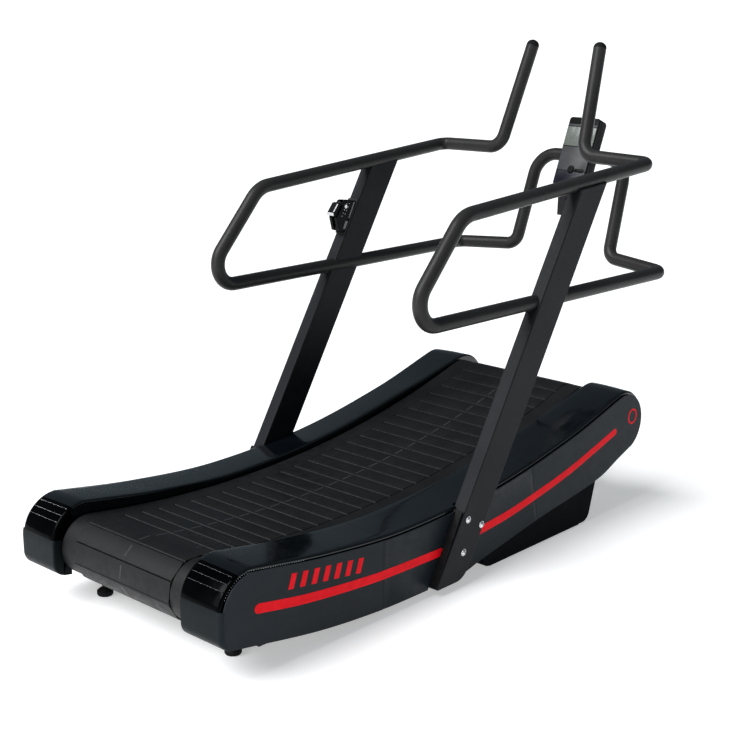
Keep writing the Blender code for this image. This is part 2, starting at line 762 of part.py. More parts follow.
def make_upright(side_name, side):
    """Rectangular tube cut under the upper rail, with a rounded foot and a hole for the lower rail."""
    drop = 0.010
    low = POST_LOW_Z
    corner = POST_CORNER
    foot = [(post_rear_x(low + 0.006), low + 0.006), (post_rear_x(low) + 0.012, low)]
    turn_z = low + corner
    turn_centre = (post_rear_x(turn_z) + POST_DEPTH_X - corner * math.sqrt(1 + POST_LEAN**2), turn_z)
    foot += arc(turn_centre, corner, math.radians(-90), -math.atan(POST_LEAN), 7)
    outline = foot + [post_top(POST_DEPTH_X, drop), post_top(0.0, drop)]
    bm = bmesh.new()
    add_prism(bm, outline, POST_IN, POST_OUT)
    post = new_object(f"{side_name}_upright", bm, black_steel(), side)
    wall_x = POST_WALL * math.sqrt(1 + POST_LEAN**2)
    bm = bmesh.new()
    low_z, high_z = -0.2, 1.3
    add_prism(bm, [
        (post_rear_x(low_z) + wall_x, low_z), (post_rear_x(low_z) + POST_DEPTH_X - wall_x, low_z),
        (post_rear_x(high_z) + POST_DEPTH_X - wall_x, high_z), (post_rear_x(high_z) + wall_x, high_z),
    ], POST_IN + POST_WALL, POST_OUT - POST_WALL)
    boolean(post, cutter(f"cut_{side_name}_post_inside", bm, side))
    for name, ends in (("top", (UPPER_REAR, UPPER_FRONT)), ("rail", (LOWER_REAR, LOWER_FRONT))):
        boolean(post, cylinder_cutter(f"cut_{side_name}_post_{name}", *ends, RAIL_CLEAR, side, 32))
    cut_holes(post, f"{side_name}_post_bolt", bolt_holes(0), 0.34, 0.42, side, 16)
    if side > 0:
        cut_holes(post, "post_cable", [(CABLE_HOLE, CABLE_HOLE_RADIUS)], 0.34, 0.375, side, 16)


def make_handrail(side_name, side):
    """One bent tube: horn, inward bend, upper rail, round the back, lower rail, and up to the bridge."""
    joint = bridge_point(BRIDGE_JOINT_Z)
    corners = [HORN_TIP, HORN_BASE, UPPER_FRONT, UPPER_REAR, LOWER_REAR, LOWER_FRONT, LOWER_INNER, joint]
    path = rounded_path(corners, [0.045, 0.030, 0.090, 0.060, 0.030, 0.036], 5)
    direction = (Vector(HORN_TIP) - Vector(HORN_BASE)).normalized()
    pipe(f"{side_name}_handrail", path, RAIL_RADIUS, RAIL_WALL, rail_black(), side)
    start = Vector(HORN_TIP) + direction * GAP
    bm = bmesh.new()
    r = RAIL_RADIUS
    profile = [(0.0, 0.0), (r, 0.0), (r, 0.003)]
    dome = r * 0.85
    for a in spread(math.radians(22), math.radians(68), 3):
        profile.append((r * math.cos(a), 0.003 + dome * math.sin(a)))
    profile.append((0.0, 0.003 + dome))
    turned(bm, profile, (0.0, 0.0), 12)
    turn = direction.to_track_quat("Y", "Z").to_matrix()
    bmesh.ops.rotate(bm, verts=bm.verts, cent=(0, 0, 0), matrix=turn)
    bmesh.ops.translate(bm, verts=bm.verts, vec=start)
    new_object(f"{side_name}_horn_cap", bm, rubber(), side, 60)


def bridge_point(z):
    """A point on the bridge's leg at a height."""
    a = Vector(LOWER_INNER)
    b = Vector(BRIDGE_TOP)
    return tuple(a + (b - a) * (z - a.z) / (b.z - a.z))


def make_bridge():
    joint = Vector(bridge_point(BRIDGE_JOINT_Z))
    joint += (Vector(BRIDGE_TOP) - joint).normalized() * GAP
    left = [Vector(joint), Vector(BRIDGE_TOP)]
    right = [Vector((p.x, -p.y, p.z)) for p in reversed(left)]
    path = rounded_path(left + right, [0.072, 0.072], 8)
    pipe("console_bridge", path, RAIL_RADIUS, RAIL_WALL, rail_black())


def make_bolts(side_name, side):
    """Three screws and the nut plate behind the beam's web that they pull against."""
    margin = 0.0095
    bm = bmesh.new()
    xs = [at[0] for at in BOLTS]
    zs = [at[1] for at in BOLTS]
    low_x = min(xs) - margin
    high_x = max(xs) + margin
    low_z = min(zs) - 0.0085
    high_z = max(zs) + 0.0085
    add_prism(bm, [
        (low_x, low_z), (low_x + 0.022, low_z), (high_x, 0.140), (high_x, 0.165), (-0.120, high_z),
        (-0.139, high_z), (low_x, 0.165),
    ], WEB - 0.005, WEB - GAP)
    plate = new_object(f"{side_name}_upright_bolts", bm, bare_steel(), side)
    for i, at in enumerate(BOLTS):
        bm = bmesh.new()
        r = 0.0085
        turned(bm, [
            (0.0, WEB - 0.004), (0.005, WEB - 0.004), (0.005, POST_OUT + GAP), (r, POST_OUT + GAP),
            (r, POST_OUT + 0.003), (0.006, POST_OUT + 0.0058), (0.0, POST_OUT + 0.0062),
        ], at, 16)
        boolean(plate, cutter(f"join_{side_name}_bolt_{i}", bm, side), "UNION")


# ---------------------------------------------------------------- belt, drums and guide rails
def angle(centre, point):
    """Direction of a point from a centre, in radians."""
    return math.atan2(point[1] - centre[1], point[0] - centre[0])


def belt_loop(offset):
    """The belt's closed path as four arcs (centre, radius, start, end, steps), moved inwards by offset."""
    rear = Vector(REAR_DRUM)
    front = Vector(FRONT_DRUM)
    dish = Vector((DISH_X, DISH_Z + DISH_RADIUS))
    a = RETURN_RADIUS - REAR_BELT_RADIUS
    b = RETURN_RADIUS - FRONT_BELT_RADIUS
    apart = (front - rear).length
    along = (front - rear) / apart
    foot = (apart**2 + a**2 - b**2) / (2 * apart)
    up = Vector((-along.y, along.x))
    sag = rear + along * foot + up * math.sqrt(a**2 - foot**2)
    pieces = []

    def add(centre, radius, start, end):
        steps = max(6, round(abs(end - start) * radius / SLAT_PITCH))
        pieces.append((centre, radius, start, end, steps))

    top_start = angle(dish, rear)
    top_end = angle(dish, front)
    add(dish, DISH_RADIUS + offset, top_start, top_end)
    add(front, FRONT_BELT_RADIUS - offset, top_end + math.pi, angle(sag, front))
    add(sag, RETURN_RADIUS - offset, angle(sag, front), angle(sag, rear))
    add(rear, REAR_BELT_RADIUS - offset, angle(sag, rear) + 2 * math.pi, top_start + math.pi)
    return pieces


def loop_points(offset, per_step):
    points = []
    for centre, radius, start, end, steps in belt_loop(offset):
        count = steps * per_step
        for k in range(count):
            a = start + (end - start) * k / count
            points.append((centre.x + radius * math.cos(a), centre.y + radius * math.sin(a)))
    return points


def make_belt():
    """The slat belt as one band with a shallow groove between slats."""
    outer = []
    groove = 0.0025
    fine = loop_points(0.0, 8)
    deep = loop_points(groove, 8)
    for i in range(len(fine)):
        at = i % 8
        if at == 0:
            outer.append(deep[i])
        elif at in (1, 4, 7):
            outer.append(fine[i])
    inner = loop_points(BELT_THICK, 2)
    bm = bmesh.new()
    rings = []
    for y in (-BELT_HALF_WIDTH, BELT_HALF_WIDTH):
        rings.append([[bm.verts.new((x, y, z)) for x, z in loop] for loop in (outer, inner)])
    for which in (0, 1):
        near = rings[0][which]
        far = rings[1][which]
        for i in range(len(near)):
            j = (i + 1) % len(near)
            bm.faces.new((near[i], near[j], far[j], far[i]))
    for out_ring, in_ring in rings:
        edges = []
        for ring in (out_ring, in_ring):
            for i in range(len(ring)):
                edges.append(bm.edges.get((ring[i], ring[(i + 1) % len(ring)])))
        bmesh.ops.triangle_fill(bm, use_beauty=True, use_dissolve=False, edges=edges)
    new_object("slat_belt", bm, belt_rubber())


def make_drum(name, centre, belt_radius):
    """A hollow shell on a hub, joined by a disc near each end; holes in the discs open the space inside."""
    r = belt_radius - BELT_THICK - 0.0006
    bore = AXLE_RADIUS + GAP
    y = DRUM_HALF_WIDTH
    disc = y - 0.010
    inside = r - DRUM_WALL
    drum = turned_object(f"{name}_drum", [
        (bore, -disc), (inside, -disc), (inside, -y), (r - 0.002, -y), (r, -y + 0.002), (r, y - 0.002),
        (r - 0.002, y), (inside, y), (inside, disc), (bore, disc),
    ], centre, alloy(), 1, 40, (centre[0], 0, centre[1]))
    hollow = disc - DRUM_WEB
    bm = bmesh.new()
    ring = [(DRUM_HUB, -hollow), (inside, -hollow), (inside, hollow), (DRUM_HUB, hollow)]
    turned(bm, ring, centre, 20)
    boolean(drum, cutter(f"cut_{name}_drum_inside", bm))
    middle = (DRUM_HUB + inside) / 2
    holes = []
    for k in range(DRUM_HOLES):
        turn = 2 * math.pi * (k + 0.5) / DRUM_HOLES
        holes.append(((centre[0] + middle * math.cos(turn), centre[1] + middle * math.sin(turn)), 0.011))
    cut_holes(drum, f"{name}_drum", holes, -y - 0.01, y + 0.01, 1, 8)
    make_axle(name, centre)


def make_axle(name, centre):
    """A drum's axle, stepped down where it runs in its two bearings."""
    step = JOURNAL_RADIUS
    shoulder = WEB - 0.014
    end = BEAM_OUT + 0.001
    turned_object(f"{name}_axle", [
        (0.0, -end), (step, -end), (step, -shoulder), (AXLE_RADIUS, -shoulder), (AXLE_RADIUS, shoulder),
        (step, shoulder), (step, end), (0.0, end),
    ], centre, bare_steel(), 1, 24, (centre[0], 0, centre[1]))
    bore = step + 0.0005
    flange = BEARING_RADIUS + 0.0047
    for side_name, side in SIDES.items():
        turned_object(f"{side_name}_{name}_bearing", [
            (bore, WEB - 0.013), (BEARING_RADIUS, WEB - 0.013), (BEARING_RADIUS, WEB - 0.003),
            (flange, WEB - 0.003), (flange, WEB - GAP), (BEARING_RADIUS, WEB - GAP),
            (BEARING_RADIUS, BEAM_OUT + 0.0015), (bore, BEAM_OUT + 0.0015),
        ], centre, bare_steel(), side, 24)


def make_guide_rail(side_name, side):
    """The curved rail under one edge of the belt, with its row of support rollers on stub axles."""
    low_x, high_x = -0.780, 0.505
    y_low, y_high = 0.150, 0.156
    roller = 0.019
    under = BELT_THICK + GAP + 0.0004
    xs = spread(low_x, high_x, 18)
    outline = [(x, belt_z(x) - under - 0.006) for x in xs]
    outline += [(x, belt_z(x) - GUIDE_RAIL_LOW) for x in reversed(xs)]
    bm = bmesh.new()
    add_prism(bm, outline, y_low, y_high)
    rail = new_object(f"{side_name}_guide_rail", bm, bare_steel(), side)
    for i, x in enumerate(spread(low_x + 0.03, high_x - 0.03, ROLLERS)):
        centre = under_belt(x, under + roller)
        bm = bmesh.new()
        turned(bm, [
            (0.0, y_low + 0.001), (0.006, y_low + 0.001), (0.006, y_high + 0.004),
            (roller, y_high + 0.004), (roller, y_high + 0.024), (0.0, y_high + 0.024),
        ], centre, 12)
        boolean(rail, cutter(f"join_{side_name}_roller_{i}", bm, side), "UNION")


# ---------------------------------------------------------------- magnetic brake
def make_flywheel():
    """A steel disc on the front axle; its hub keeps it in line with the magnets."""
    low, high = FLYWHEEL_Y
    bore = AXLE_RADIUS + GAP
    hub = 0.026
    r = FLYWHEEL_RADIUS
    turned_object("brake_flywheel", [
        (bore, low - 0.006), (hub, low - 0.006), (hub, low), (r - 0.002, low), (r, low + 0.002),
        (r, high - 0.002), (r - 0.002, high), (hub, high), (hub, high + 0.006), (bore, high + 0.006),
    ], FRONT_DRUM, bare_steel(), 1, 40, (FRONT_DRUM[0], 0.275, FRONT_DRUM[1]))


def make_magnet_arm():
    """A forked arm, hinged behind the flywheel, that holds magnets either side of its rim."""
    low, high = ARM_Y
    centre = FRONT_DRUM
    outer = arc(centre, FLYWHEEL_RADIUS + 0.017, math.radians(208), math.radians(140), 9)
    inner = arc(centre, FLYWHEEL_RADIUS - 0.010, math.radians(144), math.radians(198), 8)
    bm = bmesh.new()
    add_prism(bm, outer + inner, low, high)
    arm = new_object("magnet_arm", bm, alloy(), 1, pivot=(ARM_PIVOT[0], 0.275, ARM_PIVOT[1]))
    bm = bmesh.new()
    add_prism(bm, arc(ARM_PIVOT, 0.011, 0.1, 0.1 + math.radians(337.5), 16), low + 0.001, high - 0.001)
    boolean(arm, cutter("join_magnet_arm_hub", bm), "UNION")
    bm = bmesh.new()
    slot = arc(centre, FLYWHEEL_RADIUS + 0.004, math.radians(250), math.radians(100), 16)
    slot += arc(centre, 0.02, math.radians(100), math.radians(250), 6)
    add_prism(bm, slot, FLYWHEEL_Y[0] - 0.002, FLYWHEEL_Y[1] + 0.002)
    boolean(arm, cutter("cut_magnet_arm_slot", bm))
    cut_holes(arm, "magnet_arm", [(ARM_PIVOT, 0.0056)], 0.2, 0.32, 1, 20)
    turned_object("magnet_arm_pin", [
        (0.0, low - 0.005), (0.009, low - 0.005), (0.009, low - 0.001), (0.005, low - 0.001),
        (0.005, WEB - GAP), (0.0, WEB - GAP),
    ], ARM_PIVOT, bare_steel(), 1, 20)


# ---------------------------------------------------------------- resistance lever
def lever_local(points, origin):
    """Turns (out, up) pairs, out being away from the upright's rear face, into world XZ."""
    lean = math.atan(POST_LEAN)
    out = Vector((-math.cos(lean), math.sin(lean)))
    up = Vector((math.sin(lean), math.cos(lean)))
    return [tuple(Vector(origin) + out * a + up * b) for a, b in points]


def make_lever():
    """Gear-shifter style resistance selector on the rear face of the left upright."""
    foot = (post_rear_x(LEVER_Z), LEVER_Z)
    low, high = 0.3640, 0.3970
    slot = (0.3755, 0.3855)
    body = lever_local([
        (0.002, -0.058), (0.026, -0.064), (0.055, -0.036), (0.056, -0.030), (0.049, 0.022), (0.044, 0.0275),
        (0.002, 0.046),
    ], foot)
    housing = prism("lever_housing", body, low, high, gloss_black())
    plate = lever_local([(GAP, -0.064), (0.005, -0.064), (0.005, 0.050), (GAP, 0.050)], foot)
    bm = bmesh.new()
    add_prism(bm, plate, POST_IN + 0.001, POST_OUT - 0.001)
    boolean(housing, cutter("join_lever_plate", bm), "UNION")
    bm = bmesh.new()
    opening = box_outline(0.030, 0.080, -0.075, 0.060)
    add_prism(bm, lever_local(opening, foot), *slot)
    boolean(housing, cutter("cut_lever_slot", bm))
    pivot = lever_local([(0.038, 0.010)], foot)[0]
    cut_holes(housing, "lever_housing", [(pivot, 0.0035)], 0.30, 0.45, 1, 16)
    pin = 0.003
    head = 0.0055
    tip = 0.0014
    turned_object("lever_pin", [
        (0.0, low - tip), (head, low - tip), (head, low - GAP), (pin, low - GAP),
        (pin, high + GAP), (head, high + GAP), (head, high + tip), (0.0, high + tip),
    ], pivot, bare_steel(), 1, 16)
    arm = lever_local([
        (0.0335, 0.004), (0.046, 0.002), (0.054, -0.022), (0.066, -0.024), (0.069, -0.015), (0.062, -0.008),
        (0.0585, 0.012), (0.052, 0.0175), (0.037, 0.0165), (0.0325, 0.012),
    ], foot)
    lever = prism("resistance_lever", arm, slot[0] + 0.0007, slot[1] - 0.0007, alloy(), 1,
                  (pivot[0], sum(slot) / 2, pivot[1]))
    cut_holes(lever, "lever", [(pivot, 0.0036)], 0.30, 0.45, 1, 16)


def make_cable():
    """Brake cable: from under the lower rail, down the left upright, then in the beam to the magnet arm."""
    y = 0.3805
    top = 0.675
    beside_arm = ARM_Y[1] + 0.0028 + GAP
    corners = [
        (CABLE_HOLE[0] + POST_LEAN * (top - CABLE_HOLE[1]), y, top),
        (CABLE_HOLE[0], y, CABLE_HOLE[1]),
        (CABLE_HOLE[0], 0.335, CABLE_HOLE[1]),
        (0.340, 0.335, 0.248),
        (0.440, beside_arm, 0.276),
        (FRONT_DRUM[0] - 0.070, beside_arm, FRONT_DRUM[1] + 0.026),
    ]
    tube("brake_cable", rounded_path(corners, [0.012, 0.012, 0.10, 0.10], 4), 0.0028, rubber(), 1, 1)


# ---------------------------------------------------------------- console
def console_point(across, up, out):
    """World place of a point on the console: across the face, up it, and out towards the runner."""
    foot = Vector(CONSOLE_FOOT)
    rise = Vector((math.sin(CONSOLE_LEAN), 0.0, math.cos(CONSOLE_LEAN)))
    face = Vector((-math.cos(CONSOLE_LEAN), 0.0, math.sin(CONSOLE_LEAN)))
    return foot + Vector((0.0, across, 0.0)) + rise * up + face * out


def rounded_rectangle(half_width, low, high, radius, steps):
    corners = (
        (half_width - radius, low + radius, -90), (half_width - radius, high - radius, 0),
        (-half_width + radius, high - radius, 90), (-half_width + radius, low + radius, 180),
    )
    points = []
    for y, z, start in corners:
        for k in range(steps + 1):
            a = math.radians(start + 90 * k / steps)
            points.append((y + radius * math.cos(a), z + radius * math.sin(a)))
    return points


def add_console_slab(bm, outline, layers):
    """Lofts an (across, up) outline through layers of (out, shrink)."""
    centre = Vector((0.0, CONSOLE_TALL / 2))
    rings = []
    for out, shrink in layers:
        ring = []
        for across, up in outline:
            flat = Vector((across, up)) - centre
            flat.x *= 1 - shrink / CONSOLE_HALF_WIDTH
            flat.y *= 1 - shrink / (CONSOLE_TALL / 2)
            flat += centre
            ring.append(bm.verts.new(console_point(flat.x, flat.y, out)))
        rings.append(ring)
    for a, b in zip(rings, rings[1:]):
        for i in range(len(a)):
            j = (i + 1) % len(a)
            bm.faces.new((a[i], a[j], b[j], b[i]))
    bm.faces.new(rings[0])
    bm.faces.new(list(reversed(rings[-1])))


def make_console():
    outline = rounded_rectangle(CONSOLE_HALF_WIDTH, 0.0, CONSOLE_TALL, 0.010, 3)
    bm = bmesh.new()
    add_console_slab(bm, outline, [(0.0, 0.002), (-0.002, 0.0), (-CONSOLE_FACE, 0.0)])
    face = new_object("console_face", bm, face_grey())
    bm = bmesh.new()
    window = rounded_rectangle(CONSOLE_HALF_WIDTH - 0.007, WINDOW[0], WINDOW[1], 0.003, 2)
    add_console_slab(bm, window, [(0.01, 0.0), (-0.05, 0.0)])
    boolean(face, cutter("cut_console_window", bm))
    bm = bmesh.new()
    glass = rounded_rectangle(CONSOLE_HALF_WIDTH - 0.0075, WINDOW[0] + 0.0005, WINDOW[1] - 0.0005, 0.003, 2)
    add_console_slab(bm, glass, [(-0.0015, 0.0), (-0.0095, 0.0)])
    new_object("console_display", bm, screen_grey())
    bm = bmesh.new()
    back = -CONSOLE_DEPTH
    add_console_slab(bm, outline, [(-CONSOLE_FACE - GAP, 0.0), (back + 0.004, 0.0), (back, 0.004)])
    shell = new_object("console_housing", bm, plastic_black())
    bar = Vector(BRIDGE_TOP)
    cut_holes(shell, "console_housing", [((bar.x, bar.z), RAIL_CLEAR)], -0.2, 0.2, 1, 32)
    make_console_clamp(bar)
    make_button(face)
    make_console_neck()


def add_console_block(bm, block):
    """A plain block in the console's own axes."""
    half_width, low, high, out_front, out_back = block
    corners = [(-half_width, low), (half_width, low), (half_width, high), (-half_width, high)]
    front = [bm.verts.new(console_point(a, b, out_front)) for a, b in corners]
    back = [bm.verts.new(console_point(a, b, out_back)) for a, b in corners]
    bm.faces.new(front)
    bm.faces.new(list(reversed(back)))
    for i in range(4):
        j = (i + 1) % 4
        bm.faces.new((front[i], back[i], back[j], front[j]))


def make_console_clamp(bar):
    """Half clamp behind the bar that holds the console on."""
    bm = bmesh.new()
    add_console_block(bm, (0.022, 0.080, 0.136, -CONSOLE_DEPTH - GAP, -CONSOLE_DEPTH - 0.0169))
    clamp = new_object("console_clamp", bm, plastic_black())
    cut_holes(clamp, "console_clamp", [((bar.x, bar.z), RAIL_CLEAR)], -0.2, 0.2, 1, 32)


def make_button(face):
    """Round push button near the foot of the console's face."""
    start = console_point(0.0, BUTTON_UP, 0.02)
    end = console_point(0.0, BUTTON_UP, -0.03)
    boolean(face, cylinder_cutter("cut_console_button", start, end, BUTTON_RADIUS + 0.0007, 1, 20))
    bm = bmesh.new()
    profile = [
        (0.0, -0.0105), (BUTTON_RADIUS, -0.0105), (BUTTON_RADIUS, 0.002), (BUTTON_RADIUS - 0.0013, 0.0032),
        (0.0, 0.0036),
    ]
    turned(bm, profile, (0.0, 0.0), 20)
    direction = Vector((-math.cos(CONSOLE_LEAN), 0.0, math.sin(CONSOLE_LEAN)))
    turn = direction.to_track_quat("Y", "Z").to_matrix()
    bmesh.ops.rotate(bm, verts=bm.verts, cent=(0, 0, 0), matrix=turn)
    bmesh.ops.translate(bm, verts=bm.verts, vec=console_point(0.0, BUTTON_UP, 0.0))
    new_object("console_button", bm, rubber(), pivot=tuple(console_point(0.0, BUTTON_UP, 0.0)))


def make_console_neck():
    """Short neck under the console that guards the wiring."""
    bm = bmesh.new()
    add_prism(bm, [
        (0.818, 0.822), (0.842, 0.818), (0.858, 0.890), (0.8625, 0.8985), (0.8265, 0.9135), (0.820, 0.890),
    ], -0.026, 0.026)
    new_object("console_neck", bm, plastic_black())


# ---------------------------------------------------------------- build
def centre_lengthwise():
    """Moves everything so that the origin is under the middle of the whole length."""
    for obj in bpy.data.objects:
        obj.location.x += CENTRE_SHIFT


def build():
    clear_scene()
    for side_name, side in SIDES.items():
        make_beam(side_name, side)
        make_base(side_name, side)
        make_wheels(side_name, side)
        make_rear_foot(side_name, side)
        make_upright(side_name, side)
        make_handrail(side_name, side)
        make_bolts(side_name, side)
        make_guide_rail(side_name, side)
        make_top_covers(side_name, side)
        make_rear_panel(side_name, side)
        make_middle_panel(side_name, side)
        make_front_panel(side_name, side)
    make_cross_tubes()
    make_wheel_axle()
    make_bridge()
    make_belt()
    make_drum("rear", REAR_DRUM, REAR_BELT_RADIUS)
    make_drum("front", FRONT_DRUM, FRONT_BELT_RADIUS)
    make_flywheel()
    make_magnet_arm()
    make_lever()
    make_cable()
    make_console()
    centre_lengthwise()


build()
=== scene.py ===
"""Looks of the curved manual treadmill: shells, slats, rails, console, materials, camera and light."""

import json
import math

import bmesh
import bpy
from mathutils import Matrix, Vector


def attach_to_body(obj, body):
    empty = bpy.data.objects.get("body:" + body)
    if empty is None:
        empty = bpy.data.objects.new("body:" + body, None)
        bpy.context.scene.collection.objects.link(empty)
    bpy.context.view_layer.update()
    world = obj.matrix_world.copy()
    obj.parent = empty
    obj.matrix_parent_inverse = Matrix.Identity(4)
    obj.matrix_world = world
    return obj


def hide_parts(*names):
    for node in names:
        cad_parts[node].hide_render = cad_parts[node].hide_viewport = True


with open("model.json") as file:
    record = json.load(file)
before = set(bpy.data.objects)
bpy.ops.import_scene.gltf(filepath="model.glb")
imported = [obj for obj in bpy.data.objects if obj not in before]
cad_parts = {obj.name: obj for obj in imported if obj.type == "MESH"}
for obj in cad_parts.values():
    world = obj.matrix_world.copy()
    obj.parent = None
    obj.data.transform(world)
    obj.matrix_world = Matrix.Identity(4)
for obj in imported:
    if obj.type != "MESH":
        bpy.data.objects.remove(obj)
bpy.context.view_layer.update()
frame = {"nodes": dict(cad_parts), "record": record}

# ---- shared dimensions, as in the model
SHIFT = 0.0042
SIDES = {"right": -1, "left": 1}
DISH_RADIUS = 3.2
DISH_X = -0.381
DISH_Z = 0.204
SLAT_PITCH = 0.054
SLAT_START = 0.0421
SLAT_HALF_WIDTH = 0.180
BELT_HALF_WIDTH = 0.234
RETURN_RADIUS = 4.0
REAR_BELT_RADIUS = 0.077
FRONT_BELT_RADIUS = 0.080
COVER_IN = 0.240
COVER_OUT = 0.370
PANEL_OUT = 0.378
PANEL_THICK = 0.0035
SKIN = 0.003
CAP_CENTRE = (-0.864, 0.170)
CAP_RADIUS = 0.100
CAP_EDGE_Z = 0.193
NOSE_CENTRE = (0.634, 0.264)
NOSE_RADIUS = 0.097
SEAM_REAR_X = -0.431
SEAM_FRONT_TOP_X = 0.172
SEAM_FRONT_LOW_X = 0.205
CAP_EDGE_ANGLE = math.asin((CAP_EDGE_Z - CAP_CENTRE[1]) / CAP_RADIUS)
CAP_TOP_ANGLE = math.radians(98.4)
CAP_FINISH_ANGLE = math.radians(112)
NOSE_TOP_ANGLE = math.radians(107.0)
TRIM_DROP = 0.0095
BEAD = 0.0011  # half the size of a bright bead
BEAD_DROP = 0.0078
CAP_GROOVES = [math.radians(a) for a in (118, 130, 141)]
GROOVE_HALF = math.radians(0.5)
GROOVE_DEPTH = 0.0009
HEEL_CENTRE = (-0.926, 0.130)
HEEL_RADIUS = 0.038
HEEL_LOW_ANGLE = math.radians(255)
HEEL_TOP_ANGLE = math.radians(183)
FLANGE = 0.034  # depth of the inner flange of the covers and wraps
SEAM_GAP = 0.0008
WRAP_UNDER = 0.024  # how far the wrap runs on forward under the drum
WRAP_ROUND = 0.012
POST_IN = 0.3607
POST_OUT = 0.400
POST_FOOT_X = -0.2695
POST_LEAN = 0.6003
POST_DEPTH_X = 0.1158
POST_LOW_Z = 0.020
POST_CORNER = 0.055
RAIL_RADIUS = 0.0195
HORN_TIP = (0.793, 0.123, 1.335)
HORN_BASE = (0.683, 0.153, 1.033)
UPPER_FRONT = (0.685, 0.382, 1.028)
UPPER_REAR = (-0.135, 0.366, 0.970)
LOWER_REAR = (-0.367, 0.366, 0.713)
LOWER_FRONT = (0.779, 0.382, 0.701)
LOWER_INNER = (0.810, 0.1762, 0.714)
BRIDGE_TOP = (0.9055, 0.1637, 0.998)
BRIDGE_JOINT_Z = 0.775
CONSOLE_FOOT = (0.825, 0.0, 0.915)
CONSOLE_LEAN = math.radians(23.1)
CONSOLE_TALL = 0.222
CONSOLE_HALF_WIDTH = 0.0565
CONSOLE_FACE = 0.012
CONSOLE_DEPTH = 0.0493
BUTTON_UP = 0.0535
BUTTON_HOLE = 0.0122
BASE_IN = 0.312
BASE_OUT = 0.3715
BASE_Z = 0.006
BEAM_DROP = 0.016
BEAM_DEEP = 0.115
BOLTS = [(-0.130, 0.183), (-0.074, 0.154), (-0.147, 0.097)]
LEVER_Z = 0.850
LEVER_Y = (0.3640, 0.3970)
LEVER_CHEEK = 0.0115  # thickness of the housing's cheeks
LEVER_DOTS = [
    (0.0385, (0.0185, 0.0090, -0.0010, -0.0110, -0.0215)),
    (0.0290, (0.0240, 0.0130, 0.0020, -0.0100)),
]
LEVER_TRIM = [
    [(0.0070, -0.014), (0.0120, -0.014), (0.0140, 0.036), (0.0090, 0.038)],
    [(0.0070, -0.050), (0.0150, -0.052), (0.0180, -0.028), (0.0070, -0.024)],
]
GAP = 0.0004
PRINT = (PANEL_OUT + 0.0001, PANEL_OUT + 0.0005)  # inner and outer face of the red prints


# ---- geometry helpers
def smooth_through(points):
    xs = [p[0] for p in points]
    zs = [p[1] for p in points]
    slopes = []
    for i in range(len(xs)):
        a = max(i - 1, 0)
        b = min(i + 1, len(xs) - 1)
        slopes.append((zs[b] - zs[a]) / (xs[b] - xs[a]))

    def value(x):
        i = 0
        while i < len(xs) - 2 and x > xs[i + 1]:
            i += 1
        span = xs[i + 1] - xs[i]
        t = (x - xs[i]) / span
        start = (2 * t**3 - 3 * t**2 + 1) * zs[i] + (t**3 - 2 * t**2 + t) * span * slopes[i]
        end = (3 * t**2 - 2 * t**3) * zs[i + 1] + (t**3 - t**2) * span * slopes[i + 1]
        return start + end

    return value


cover_top = smooth_through([
    (-0.866, 0.270), (-0.616, 0.233), (-0.336, 0.212), (0.024, 0.231), (0.364, 0.291), (0.604, 0.3565),
])
cover_low = smooth_through([
    (-0.915, 0.090), (-0.659, 0.046), (-0.449, 0.026), (-0.266, 0.021), (-0.116, 0.023),
    (-0.053, 0.036), (0.214, 0.083), (0.507, 0.126), (0.620, 0.168),
])


def belt_z(x):
    return DISH_Z + DISH_RADIUS - math.sqrt(DISH_RADIUS**2 - (x - DISH_X) ** 2)


def spread(low, high, count):
    return [low + (high - low) * i / (count - 1) for i in range(count)]


def eased(t):
    """Clamps t to 0..1 and eases both ends."""
    t = min(max(t, 0.0), 1.0)
    return t * t * (3 - 2 * t)


def on_circle(centre, radius, angle):
    return (centre[0] + radius * math.cos(angle), centre[1] + radius * math.sin(angle))


def arc(centre, radius, start, end, count):
    return [on_circle(centre, radius, a) for a in spread(start, end, count)]


def post_rear_x(z):
    return POST_FOOT_X + POST_LEAN * z


def channel_x(z, clear):
    """X at a clearance behind the upright (negative) or in front of it (positive)."""
    return post_rear_x(z) + clear + (POST_DEPTH_X if clear > 0 else 0.0)


def drum_centre(tangent_x, belt_radius):
    towards = Vector((tangent_x - DISH_X, belt_z(tangent_x) - DISH_Z - DISH_RADIUS)).normalized()
    return Vector((tangent_x, belt_z(tangent_x))) + towards * belt_radius


REAR_DRUM = drum_centre(-0.856, REAR_BELT_RADIUS)
FRONT_DRUM = drum_centre(0.579, FRONT_BELT_RADIUS)


def add_prism(bm, outline, y_low, y_high):
    """A solid between two Y planes; returns its side faces, one for each edge of the outline."""
    near = [bm.verts.new((x, y_low, z)) for x, z in outline]
    far = [bm.verts.new((x, y_high, z)) for x, z in outline]
    bm.faces.new(near)
    bm.faces.new(far[::-1])
    sides = []
    for i in range(len(outline)):
        j = (i + 1) % len(outline)
        sides.append(bm.faces.new((near[i], far[i], far[j], near[j])))
    return sides


def join_rings(bm, rings, capped=True):
    """Side faces between neighbouring rings of vertices, and a face on the first and the last ring."""
    for a, b in zip(rings, rings[1:]):
        for i in range(len(a)):
            j = (i + 1) % len(a)
            bm.faces.new((a[i], a[j], b[j], b[i]))
    if capped:
        bm.faces.new(rings[0])
        bm.faces.new(rings[-1][::-1])


